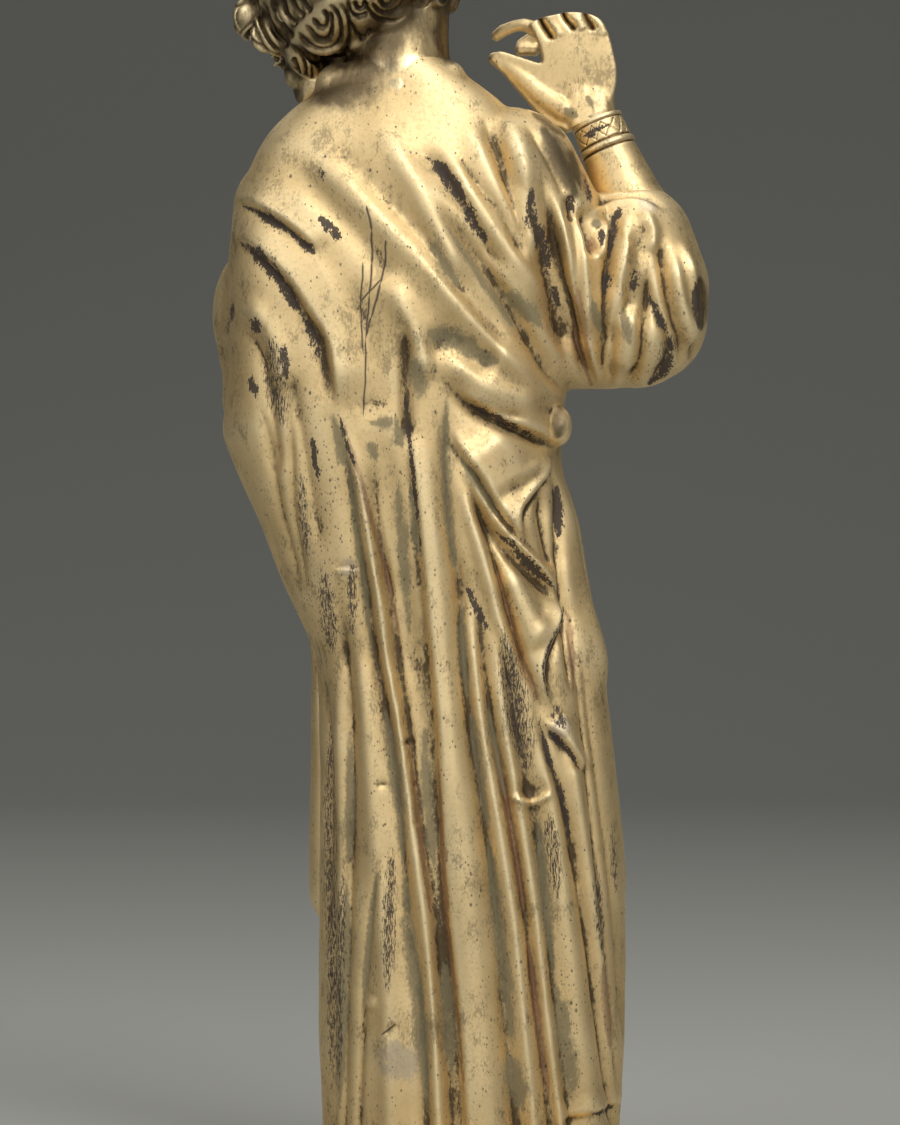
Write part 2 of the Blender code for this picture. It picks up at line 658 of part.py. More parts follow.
def hand_form(bm):
    """The back of the hand faces -Y, the thumb is to the left, the fingers curl forward."""
    limb(bm, ((125, 31, 1026, 20), (116, 34, 1056, 21)))
    limb(bm, ((102, 34, 1036, 17), (89, 34, 1062, 18), (88, 34, 1100, 17)))
    limb(bm, ((131, 34, 1044, 15), (132, 34, 1080, 16), (128, 34, 1102, 14)))
    limb(bm, ((116, 33, 1060, 18), (110, 33, 1100, 16)))
    # thumb
    limb(bm, ((98, 36, 1036, 14), (76, 40, 1046, 13), (52, 46, 1064, 11), (36, 50, 1080, 9.5), (28, 52, 1088, 7.5)), 14)
    # index finger, reaching to the left and bent to the thumb
    limb(bm, ((80, 36, 1112, 11.5), (66, 44, 1118, 8.5), (50, 52, 1121, 7), (36, 58, 1117, 6.2), (31, 60, 1113, 5)), 14)
    # three fingers folded forward from the knuckles
    for x, z, lean in ((97, 1118, -7), (115, 1117, -5), (132, 1108, -4)):
        limb(bm, ((x, 34, z - 3, 11), (x + lean, 52, z + 1, 9.5), (x + lean * 3.2, 76, z - 9, 8.5),
                  (x + lean * 5, 80, z - 30, 7.5)), 14)


def make_hand(group, cutters):
    bm = bmesh.new()
    hand_form(bm)
    obj = joined(bm, "raised_hand", HAND_GRAIN, group)
    relax(obj, 5)
    coords, normals = surface(obj)
    slits = (
        ("valley", 3.2, 3.5, (71, 1123), (84, 1106)),
        ("valley", 3.2, 4.5, (106, 1134), (106, 1112)),
        ("valley", 3.2, 4.5, (124, 1128), (122, 1108)),
    )
    height = sum(stroke(coords[:, (0, 2)], *row[:3], row[3:], fade=0.45) for row in slits)
    reshape(obj, coords + normals * (height * facing(normals, -1))[:, None])
    thin_out(obj, HAND_TRIANGLES)
    cut_flat(obj, rim_place(HAND_CLEARANCE), -CUFF_AXIS)
    tenon = round_along(
        "hand_tenon", SOCKET_RADIUS - HAND_CLEARANCE, HAND_CLEARANCE - SOCKET_DEPTH, HAND_CLEARANCE + SOCKET_RADIUS,
        cutters,
    )
    tenon.hide_render = True
    tenon.display_type = "WIRE"
    combine(obj, tenon, "UNION")
    return obj


def make_base(group, figure):
    """An oval plate with a worked edge, a margin wider than what stands on it all round."""
    low = [vert.co for vert in figure.data.vertices if vert.co.z < FIGURE_FOOT + 14 * PART]
    foot_half = max(abs(co.x) for co in low)
    foot_depth = max(abs(co.y) for co in low)
    bm = bmesh.new()
    bmesh.ops.create_cone(
        bm, cap_ends=True, segments=BASE_SIDES, radius1=1.0, radius2=1.0, depth=1.0,
        matrix=Matrix.Translation((0, 0, BASE_HEIGHT / 2)) @ Matrix.Diagonal(
            (foot_half + BASE_MARGIN, foot_depth + BASE_MARGIN, BASE_HEIGHT, 1.0)
        ),
    )
    mesh = bpy.data.meshes.new("base")
    bm.to_mesh(mesh)
    bm.free()
    obj = bpy.data.objects.new("base", mesh)
    group.objects.link(obj)
    bevel = obj.modifiers.new("Chamfer", "BEVEL")
    bevel.width = BASE_CHAMFER
    bevel.segments = 1
    bevel.limit_method = "ANGLE"
    bevel.angle_limit = math.radians(60)
    return obj


def main():
    clear_scene()
    parts = named_collection("draped_figure")
    cutters = named_collection("cutters", hidden=True)
    gilt = plain_material("gilt_copper", (0.62, 0.45, 0.2), 1.0, 0.38)
    figure = make_figure(parts)
    hand = make_hand(parts, cutters)
    socket = round_along("hand_socket", SOCKET_RADIUS, -SOCKET_DEPTH, SOCKET_RADIUS, cutters)
    socket.hide_render = True
    socket.display_type = "WIRE"
    combine(figure, socket, "DIFFERENCE")
    base = make_base(parts, figure)
    for obj in (figure, hand, base):
        obj.data.materials.clear()
        obj.data.materials.append(gilt)
        obj.data.shade_smooth()
    base.data.set_sharp_from_angle(angle=math.radians(35))


main()
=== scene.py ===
# %% [markdown]
# # A draped figure in gilt copper
# The real object is a small cast figure, chased by hand, then gilded. Here the solids that carry its size
# and weight are loaded first. Every piece below is fitted round them and stands for one of them.

# %% Load the frame
import math

import bmesh
import bpy
import numpy as np
from mathutils import Matrix, Vector


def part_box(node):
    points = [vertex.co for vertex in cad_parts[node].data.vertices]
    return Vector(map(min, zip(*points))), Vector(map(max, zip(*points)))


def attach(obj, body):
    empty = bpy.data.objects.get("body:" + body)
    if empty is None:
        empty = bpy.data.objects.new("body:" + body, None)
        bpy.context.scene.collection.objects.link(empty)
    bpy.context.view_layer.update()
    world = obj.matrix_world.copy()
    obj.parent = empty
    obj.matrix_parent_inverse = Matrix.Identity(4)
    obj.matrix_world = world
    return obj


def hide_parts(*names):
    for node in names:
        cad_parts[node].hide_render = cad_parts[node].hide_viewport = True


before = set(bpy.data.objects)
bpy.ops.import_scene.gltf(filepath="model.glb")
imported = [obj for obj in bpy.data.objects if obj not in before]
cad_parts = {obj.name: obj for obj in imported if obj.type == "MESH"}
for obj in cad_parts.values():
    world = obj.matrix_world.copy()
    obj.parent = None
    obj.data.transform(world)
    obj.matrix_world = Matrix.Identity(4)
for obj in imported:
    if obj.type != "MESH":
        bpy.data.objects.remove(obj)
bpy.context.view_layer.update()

# %% [markdown]
# ## The grid
# A sculptor works from a squared drawing. The figure's height counts 1300 parts, and each part is 0.19
# mm. X runs across the back, Z runs up, and the figure faces +Y. The drawing sheet of the back counts
# across from its left edge and down from its top, so a fold can be read off the drawing as it is seen.

# %% The grid of parts
FIGURE_HEIGHT = 0.245
PART = FIGURE_HEIGHT / 1300
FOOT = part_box("figure")[0][2]
SHEET_LEFT, SHEET_TOP, SHEET_HEIGHT = 470, 1140, 1125
SHEET_MIDDLE = (-20.0, 577.5)
BACK_NEARER = 0.979


def on_sheet(points, nearer=BACK_NEARER):
    """Sheet stations (across, down) as grid stations (x, z); the back lies nearer than the outline."""
    grid = []
    for across, down in points:
        x = SHEET_MIDDLE[0] + (across - SHEET_LEFT - SHEET_MIDDLE[0]) * nearer
        z = SHEET_MIDDLE[1] + (SHEET_TOP - down - SHEET_MIDDLE[1]) * nearer
        grid.append((x, z))
    return grid


def in_metres(point):
    return Vector(point) * PART + Vector((0, 0, FOOT))


print("one part is", round(PART * 1000, 4), "mm, the foot is at", FOOT)

# %% [markdown]
# ## Balls and limbs
# Before any fold is cut, the sculptor has a lump of wax in the right places. Limbs, the sleeve and the
# bundle of cloth are round lengths and eggs. Each ball is made in a small mesh of its own and then added
# to the lump, because the sphere operator looks through the whole mesh each time.


# %% Balls, eggs and limbs
def add_ball(bm, place, segments=32, rings=20):
    alone = bmesh.new()
    bmesh.ops.create_uvsphere(alone, u_segments=segments, v_segments=rings, radius=1.0, matrix=place)
    mesh = bpy.data.meshes.new("ball")
    alone.to_mesh(mesh)
    alone.free()
    bm.from_mesh(mesh)
    bpy.data.meshes.remove(mesh)


def egg(bm, centre, radii, turn=None, place=None):
    turn = turn or Matrix.Identity(4)
    full = (place or Matrix.Identity(4)) @ Matrix.Translation(Vector(centre)) @ turn
    add_ball(bm, full @ Matrix.Diagonal((*radii, 1.0)))


def limb(bm, path, segments=28, place=None):
    """Tapered round lengths through (x, y, z, radius) stations."""
    place = place or Matrix.Identity(4)
    for x, y, z, radius in path:
        egg(bm, (x, y, z), (radius, radius, radius), place=place)
    for a, b in zip(path, path[1:]):
        start, end = Vector(a[:3]), Vector(b[:3])
        turn = (end - start).to_track_quat("Z", "Y").to_matrix().to_4x4()
        bmesh.ops.create_cone(
            bm, cap_ends=True, segments=segments, radius1=a[3], radius2=b[3], depth=(end - start).length,
            matrix=place @ Matrix.Translation((start + end) / 2) @ turn,
        )


# %% [markdown]
# ## The robe's body
# The robe is one tall form whose section changes slowly: wide and shallow, fuller than an oval. It could
# be a subdivided box. A circle that is extruded ring by ring follows the outline of the drawing more
# closely, since each ring takes its own left edge, right edge and depths.


# %% A skirted form from rows of edges and depths
def eased_rows(rows, step=6.0):
    table = np.array(rows, float)
    heights = np.arange(table[0, 0], table[-1, 0] + step / 2, step)
    kernel = np.array((1, 2, 3, 2, 1)) / 9
    columns = [np.interp(heights, table[:, 0], table[:, i]) for i in range(1, table.shape[1])]
    eased = [np.convolve(np.pad(column, 2, mode="edge"), kernel, mode="valid") for column in columns]
    return np.column_stack([heights, *eased])


def first_ring(bm, segments):
    """A circle's points, edges and angles."""
    ring = bmesh.ops.create_circle(bm, segments=segments, radius=1.0)["verts"]
    edges = list({edge for vert in ring for edge in vert.link_edges})
    return ring, edges, [math.atan2(vert.co.y, vert.co.x) for vert in ring]


def next_ring(bm, ring, edges):
    """Extrudes a ring; gives the new points in the same order and their edges."""
    made = set(bmesh.ops.extrude_edge_only(bm, edges=edges)["geom"])
    ring = [
        next(edge.other_vert(vert) for edge in vert.link_edges if edge.other_vert(vert) in made)
        for vert in ring
    ]
    level = set(ring)
    edges = [item for item in made if isinstance(item, bmesh.types.BMEdge)
             and item.verts[0] in level and item.verts[1] in level]
    return ring, edges


def skirted_form(bm, rows, fullness=2.35, segments=96):
    ring, edges, angles = first_ring(bm, segments)
    first = edges
    for number, (height, left, right, back, front) in enumerate(eased_rows(rows)):
        if number:
            ring, edges = next_ring(bm, ring, edges)
        for vert, angle in zip(ring, angles):
            across = math.copysign(abs(math.cos(angle)) ** (2 / fullness), math.cos(angle))
            deep = math.copysign(abs(math.sin(angle)) ** (2 / fullness), math.sin(angle))
            vert.co = (
                (left + right) / 2 + (right - left) / 2 * across,
                (front - back) / 2 + (front + back) / 2 * deep,
                height,
            )
    bmesh.ops.contextual_create(bm, geom=first)
    bmesh.ops.contextual_create(bm, geom=edges)


ROBE_ROWS = (
    (-14, -148, 149, 98, 98), (15, -148, 149, 99, 99), (97, -151, 155, 102, 101),
    (240, -150, 155, 103, 98), (365, -150, 146, 101, 94), (490, -154, 131, 97, 90),
    (556, -186, 115, 95, 92), (618, -209, 103, 96, 94), (662, -230, 93, 97, 94), (706, -248, 88, 98, 92),
    (753, -242, 98, 99, 88), (840, -240, 105, 98, 84), (895, -239, 112, 96, 80), (925, -236, 112, 93, 77),
    (960, -224, 92, 88, 72), (990, -211, 72, 80, 66), (1010, -198, 56, 72, 61), (1040, -168, 29, 61, 55),
    (1058, -134, 2, 56, 52), (1070, -125, -14, 54, 50), (1078, -119, -23, 50, 46),
    (1088, -108, -34, 42, 40),
)
MANTLE_ROWS = (
    (214, -150, 152, -10, 116), (232, -163, 158, -6, 118), (300, -163, 155, -6, 116),
    (365, -162, 148, -6, 112), (490, -161, 132, -6, 106), (533, -172, 120, -6, 106),
    (600, -196, 108, -6, 108), (680, -236, 92, -6, 108), (730, -240, 92, -6, 100),
)
CASCADE_ROWS = (
    (500, -158, -122, 40, 104), (560, -186, -108, 40, 116), (640, -216, -96, 40, 126),
    (700, -232, -88, 40, 130), (760, -222, -92, 40, 122), (778, -210, -104, 40, 112),
)
print("rows of robe, mantle and cascade:", len(ROBE_ROWS), len(MANTLE_ROWS), len(CASCADE_ROWS))


# %% [markdown]
# ## The lump of the body
# The raised arm is folded inside a full sleeve, the left arm carries a bundle of cloth, and a hand closes
# on a fold at the waist. All of it is one casting, so all of it goes into one lump.


# %% The body's lump
def body_lump():
    bm = bmesh.new()
    skirted_form(bm, ROBE_ROWS)
    skirted_form(bm, MANTLE_ROWS)
    skirted_form(bm, CASCADE_ROWS, segments=48)
    limb(bm, ((-130, -14, 1050, 26), (-100, -32, 1058, 20), (-62, -34, 1062, 18), (-24, -20, 1058, 20)))
    limb(bm, ((40, -4, 962, 70), (112, 2, 838, 62)))
    limb(bm, ((105, 4, 803, 52), (140, 6, 806, 55), (166, 10, 812, 60), (178, 12, 820, 61)))
    limb(bm, ((178, 12, 820, 61), (179, 14, 855, 62), (168, 18, 900, 57)))
    limb(bm, ((166, 19, 905, 50), (160, 21, 925, 40)))
    bmesh.ops.create_cone(
        bm, cap_ends=True, segments=40, radius1=52, radius2=40.5, depth=42,
        matrix=Matrix.Translation((159, 22, 927)) @ Matrix.Rotation(-0.08, 4, "Y"),
    )
    limb(bm, ((100, 0, 880, 55), (150, 10, 860, 60)))
    egg(bm, (89, -40, 712), (12, 16, 20))
    limb(bm, ((-178, 2, 930, 58), (-200, 10, 800, 50), (-202, 20, 740, 46)))
    limb(bm, ((-205, 26, 742, 44), (-176, 84, 752, 40), (-130, 116, 770, 27)))
    egg(bm, (-219, 34, 826), (40, 44, 68))
    egg(bm, (-226, 18, 800), (28, 30, 54))
    egg(bm, (-104, 122, 774), (24, 13, 21), Matrix.Rotation(0.2, 4, "Y"))
    for number in range(4):
        height = 790 - 10.5 * number
        limb(bm, ((-96, 128, height, 6.6), (-78, 131, height - 3, 6.4), (-70, 122, height - 6, 6)))
    limb(bm, ((-104, 132, 792, 7), (-88, 138, 797, 6.5), (-76, 137, 795, 5.5)))
    egg(bm, (-62, 92, -2), (26, 42, 17))
    egg(bm, (58, 92, -2), (26, 42, 17))
    return bm


# %% [markdown]
# ## One skin
# A voxel remesh wraps every overlapping form in one closed skin, as pouring the metal does. A boolean
# union would keep hard seams between the forms; here they melt together, and a short smoothing rounds
# them like wax.


# %% Skin, smoothing and thinning
BODY_TRIANGLES, HEAD_TRIANGLES, FOREARM_TRIANGLES, HAND_TRIANGLES = 195000, 190000, 70000, 90000


def piece_from(bm, name):
    mesh = bpy.data.meshes.new(name)
    bm.to_mesh(mesh)
    bm.free()
    mesh.transform(Matrix.Translation((0, 0, FOOT)) @ Matrix.Diagonal((PART, PART, PART, 1.0)))
    piece = bpy.data.objects.new(name, mesh)
    bpy.context.scene.collection.objects.link(piece)
    return piece


def settled(piece):
    bpy.context.view_layer.update()
    graph = bpy.context.evaluated_depsgraph_get()
    made = bpy.data.meshes.new_from_object(piece.evaluated_get(graph), depsgraph=graph)
    old = piece.data
    piece.modifiers.clear()
    piece.data = made
    bpy.data.meshes.remove(old)
    made.name = piece.name
    return piece


def reskin(piece, grain):
    remesh = piece.modifiers.new("One skin", "REMESH")
    remesh.mode = "VOXEL"
    remesh.voxel_size = grain * PART
    return settled(piece)


def relax(piece, times):
    smooth = piece.modifiers.new("Relax", "SMOOTH")
    smooth.factor = 0.5
    smooth.iterations = times
    return settled(piece)


def thin_out(piece, triangles):
    faces = sum(len(polygon.vertices) - 2 for polygon in piece.data.polygons)
    if faces > triangles:
        fewer = piece.modifiers.new("Fewer faces", "DECIMATE")
        fewer.ratio = triangles / faces
        settled(piece)
    print(piece.name, "from", faces, "to", sum(len(p.vertices) - 2 for p in piece.data.polygons), "triangles")
    return piece


def surface(piece):
    count = len(piece.data.vertices)
    coords, normals = np.empty(count * 3), np.empty(count * 3)
    piece.data.vertices.foreach_get("co", coords)
    piece.data.vertices.foreach_get("normal", normals)
    return (coords.reshape(-1, 3) - (0, 0, FOOT)) / PART, normals.reshape(-1, 3)


def reshape(piece, coords):
    piece.data.vertices.foreach_set("co", (coords * PART + (0, 0, FOOT)).ravel())
    piece.data.update()


def relax_steps(piece, coords, times, factor=0.5):
    """Eases points towards their neighbours without writing them back."""
    edges = np.empty(len(piece.data.edges) * 2, int)
    piece.data.edges.foreach_get("vertices", edges)
    a, b = edges[::2], edges[1::2]
    count = np.maximum(np.bincount(edges, minlength=len(coords)), 1)[:, None]
    for _ in range(times):
        sums = [np.bincount(a, coords[b, i], len(coords)) + np.bincount(b, coords[a, i], len(coords))
                for i in range(3)]
        coords = (1 - factor) * coords + factor * np.stack(sums, axis=1) / count
    return coords


body = reskin(relax(reskin(piece_from(body_lump(), "draped_body"), 2.6), 12), 1.9)
print("body skin", len(body.data.vertices), "points")

# %% [markdown]
# ## Strokes of the chasing tool
# A fold is a stroke: a line with a width and a depth that fades at its ends. A valley sinks the skin, a
# ridge lifts it, a swell rounds it, and a lap lifts one side over the other, as one layer of cloth lies
# on the next. The strokes are summed over the points of the skin with numpy and moved along the normals,
# which is what sculpting brushes do.


# %% Strokes
def smooth_path(points, spacing=6.0):
    knots = [np.array(point, float) for point in points]
    if len(knots) == 2:
        knots = [knots[0], (knots[0] + knots[1]) / 2, knots[1]]
    ends = [2 * knots[0] - knots[1], *knots, 2 * knots[-1] - knots[-2]]
    line = []
    for a, b, c, d in zip(ends, ends[1:], ends[2:], ends[3:]):
        count = max(2, int(np.linalg.norm(c - b) / spacing))
        for t in np.arange(count) / count:
            line.append(0.5 * (2 * b + (c - a) * t + (2 * a - 5 * b + 4 * c - d) * t**2
                               + (3 * b - a - 3 * c + d) * t**3))
    line.append(knots[-1])
    return np.array(line)


def along(flat, points, reach):
    """Which points lie near the stroke, their signed distance to it and their share of its length."""
    line = smooth_path(points)
    inside = np.all((flat > line.min(0) - reach) & (flat < line.max(0) + reach), axis=1)
    near_points = flat[inside]
    lengths = np.linalg.norm(np.diff(line, axis=0), axis=1)
    starts = np.concatenate([[0], np.cumsum(lengths)])
    best = np.full(len(near_points), 1e9)
    signed, share = best.copy(), np.zeros(len(near_points))
    for number, (a, b) in enumerate(zip(line, line[1:])):
        way = (b - a) / lengths[number]
        offset = near_points - a
        t = np.clip(offset @ way, 0, lengths[number])
        distance = np.hypot(offset[:, 0] - t * way[0], offset[:, 1] - t * way[1])
        near = distance < best
        side = np.where(way[0] * offset[:, 1] - way[1] * offset[:, 0] > 0, 1.0, -1.0)
        best[near], signed[near] = distance[near], (distance * side)[near]
        share[near] = ((starts[number] + t) / starts[-1])[near]
    return inside, signed, share


def fading(share, fade, start=1.0):
    """Fades the first and the last share of a stroke, the first over a longer way when start is larger."""
    ends = np.clip(np.minimum(share / start, 1 - share) / fade, 0, 1)
    return ends * ends * (3 - 2 * ends)


REACH = 4.5
SLOW_START = 1.6


def stroke(flat, kind, width, depth, points, fade=0.12):
    """The height that one stroke adds at each point; it reaches REACH widths to both sides."""
    height = np.zeros(len(flat))
    inside, signed, share = along(flat, points, REACH * width)
    if not inside.any():
        return height
    if kind == "valley":
        shape = -np.exp(-np.abs(signed / width) ** 1.2)
    elif kind == "ridge":
        shape = np.exp(-np.abs(signed / (1.1 * width)) ** 1.9)
    elif kind == "swell":
        shape = np.exp(-((signed / width) ** 2))
    else:
        high = np.exp(-np.clip(signed, 0, None) / (2.2 * width))
        low = -0.85 * np.exp(-np.clip(-signed, 0, None) / width)
        step = 1 / (1 + np.exp(-np.clip(signed / (0.2 * width), -30, 30)))
        shape = step * high + (1 - step) * low
    beyond = np.clip(1 - np.abs(signed) / (REACH * width), 0, 1)
    height[inside] = depth * shape * fading(share, fade, SLOW_START) * np.minimum(1, 3 * beyond)
    return height


def facing(normals, side):
    turned = np.clip((normals[:, 1] * side + 0.05) / 0.4, 0, 1)
    return turned * turned * (3 - 2 * turned)


# %% [markdown]
# ## The folds of the back
# Cloth hangs from where it is held. From the left shoulder the folds run down to the middle of the back,
# from the right shoulder they gather under the raised elbow, and below the waist they fan out to the hem.
# Each row is a kind, a half width, a depth and stations on the drawing sheet.

# %% Folds over the shoulders and the back
SHOULDER_FOLDS = (
    ("ridge", 12, 10, (292, 126), (318, 155), (343, 182), (372, 210), (415, 255), (453, 300),
     (485, 336), (552, 392)),
    ("ridge", 5, 5, (404, 244), (430, 272), (453, 300), (485, 336), (516, 368), (545, 388)),
    ("swell", 11, -5, (278, 148), (306, 180), (338, 215), (372, 252), (398, 292)),
    ("swell", 11, -7, (324, 132), (354, 165), (387, 204), (422, 240), (457, 285), (492, 325), (530, 366)),
    ("ridge", 9, 9, (366, 112), (387, 138), (403, 165), (420, 193), (437, 227), (455, 262), (470, 290)),
    ("swell", 11, -8, (432, 186), (452, 216), (474, 250), (500, 290), (538, 345), (570, 386)),
    ("valley", 5, 11, (438, 198), (452, 218), (466, 237), (488, 267), (511, 305), (532, 338),
     (562, 384), (580, 396)),
    ("valley", 8, 12, (414, 142), (425, 153), (443, 169), (461, 199), (476, 224), (488, 247), (508, 276)),
    ("ridge", 7, 7, (420, 165), (440, 195), (462, 222), (490, 260), (520, 300), (548, 342), (580, 384)),
    ("ridge", 8, 10, (432, 132), (453, 168), (478, 212), (504, 247), (527, 277), (548, 314)),
    ("valley", 3.5, 5, (450, 140), (478, 184), (504, 217), (529, 269)),
    ("ridge", 8, 6, (462, 110), (475, 138), (493, 178), (514, 216), (530, 252)),
    ("valley", 6, 10, (482, 108), (490, 130), (499, 153), (511, 196), (520, 225), (528, 256)),
    ("ridge", 9, 11, (498, 104), (512, 132), (523, 165), (528, 195), (532, 225), (538, 266)),
    ("valley", 8, 12, (530, 168), (531, 209), (544, 247), (552, 283), (562, 318), (576, 358)),
    ("valley", 4, 5, (524, 118), (544, 148), (556, 172), (570, 200)),
    ("valley", 4, 10, (538, 168), (552, 217), (562, 267), (572, 318), (585, 369), (594, 392)),
    ("ridge", 5, 8, (545, 172), (558, 217), (568, 262), (577, 305), (588, 350), (598, 386)),
    ("lap", 7, 10, (228, 190), (240, 196), (263, 209), (291, 227), (322, 255)),
    ("lap", 9, 15, (222, 224), (234, 233), (263, 255), (288, 280), (309, 313), (324, 338), (331, 369),
     (337, 412)),
    ("ridge", 9, 6, (234, 292), (262, 318), (276, 345), (285, 392)),
    ("valley", 6, 7, (238, 320), (256, 345), (267, 380), (273, 432), (278, 480)),
    ("valley", 7, 6, (288, 345), (293, 392), (302, 440), (312, 500), (322, 560)),
    ("ridge", 9, 9, (382, 270), (398, 296), (410, 322), (420, 350), (429, 385)),
    ("valley", 5, 10, (401, 308), (405, 340), (406, 380), (408, 420), (411, 452)),
    ("swell", 18, -7, (425, 328), (458, 343), (500, 366)),
    ("ridge", 9, 9, (430, 346), (455, 365), (481, 381), (510, 396), (545, 406)),
    ("valley", 5, 7, (438, 374), (460, 396), (498, 412), (530, 418)),
    ("swell", 14, -5, (350, 262), (364, 340), (378, 430)),
)
SLEEVE_FOLDS = (
    ("valley", 4, 11, (551, 196), (554, 219), (563, 263), (573, 306), (582, 349), (597, 391)),
    ("valley", 4, 9, (570, 246), (575, 275), (582, 315), (590, 358), (602, 391)),
    ("ridge", 6, 7, (562, 190), (560, 210), (568, 250), (578, 300), (590, 350), (600, 388)),
    ("ridge", 5, 7, (578, 205), (581, 223), (585, 262), (592, 330)),
    ("valley", 6, 13, (585, 200), (590, 228), (596, 256)),
    ("valley", 4, 8, (570, 190), (572, 206), (574, 222)),
    ("ridge", 4, 7, (607, 214), (606, 234), (603, 256)),
    ("valley", 4, 10, (616, 202), (613, 233), (610, 257), (608, 285), (607, 318), (604, 358), (606, 392)),
    ("ridge", 7, 10, (632, 200), (629, 230), (624, 262), (618, 292), (612, 340)),
    ("valley", 3, 7, (617, 286), (615, 323), (614, 349), (613, 388)),
    ("swell", 11, 7, (632, 300), (633, 335), (628, 372)),
    ("valley", 5, 11, (651, 258), (647, 297), (644, 332), (641, 358), (628, 388)),
    ("valley", 5, 11, (661, 222), (664, 250), (670, 289), (677, 316), (685, 341), (682, 366)),
    ("valley", 5, 9, (649, 282), (661, 315), (671, 335), (671, 358), (650, 386)),
    ("ridge", 7, 8, (674, 240), (680, 289), (689, 323), (693, 352)),
    ("ridge", 5, 8, (684, 232), (692, 262), (698, 300), (698, 345)),
    ("valley", 5, 8, (698, 262), (703, 300), (702, 335), (694, 360)),
    ("swell", 6, 5, (644, 205), (655, 225), (656, 250)),
    ("lap", 4, 5, (672, 208), (652, 196), (636, 193), (616, 195), (590, 209)),
)
FLAP_FOLDS = (
    ("lap", 6, 10, (448, 386), (463, 398), (487, 411), (500, 419), (525, 429), (547, 438), (558, 450)),
    ("valley", 6, 6, (450, 396), (474, 412), (500, 424), (530, 435), (552, 448)),
    ("swell", 20, 8, (478, 430), (502, 456), (522, 486)),
    ("lap", 6, 11, (447, 424), (462, 455), (477, 474), (490, 496), (500, 513), (512, 530), (527, 549)),
    ("lap", 6, 11, (525, 547), (522, 529), (521, 513), (535, 492), (549, 473), (554, 453)),
    ("valley", 6, 12, (546, 484), (545, 510), (550, 540), (558, 572)),
    ("ridge", 3.5, 9, (454, 446), (470, 478), (486, 506), (503, 530), (523, 550), (547, 575), (564, 597)),
    ("valley", 5, 9, (470, 496), (485, 524), (503, 549), (525, 572), (547, 590), (561, 602)),
    ("swell", 13, 11, (498, 558), (514, 590), (530, 622), (543, 650)),
    ("valley", 4, 10, (466, 470), (480, 515), (493, 555), (507, 605), (523, 660), (535, 690), (549, 722)),
    ("ridge", 5, 7, (458, 470), (470, 515), (482, 555), (496, 610), (511, 655), (524, 694)),
    ("lap", 6, 12, (554, 708), (547, 690), (544, 667), (551, 644), (563, 620), (565, 594)),
    ("ridge", 7, 8, (550, 452), (564, 480), (576, 520), (586, 560), (593, 600), (601, 650), (606, 710)),
    ("valley", 4, 11, (553, 456), (560, 500), (563, 543), (565, 590), (570, 650), (573, 704)),
    ("lap", 5, 9, (542, 722), (556, 735), (566, 747), (577, 762), (584, 774)),
)
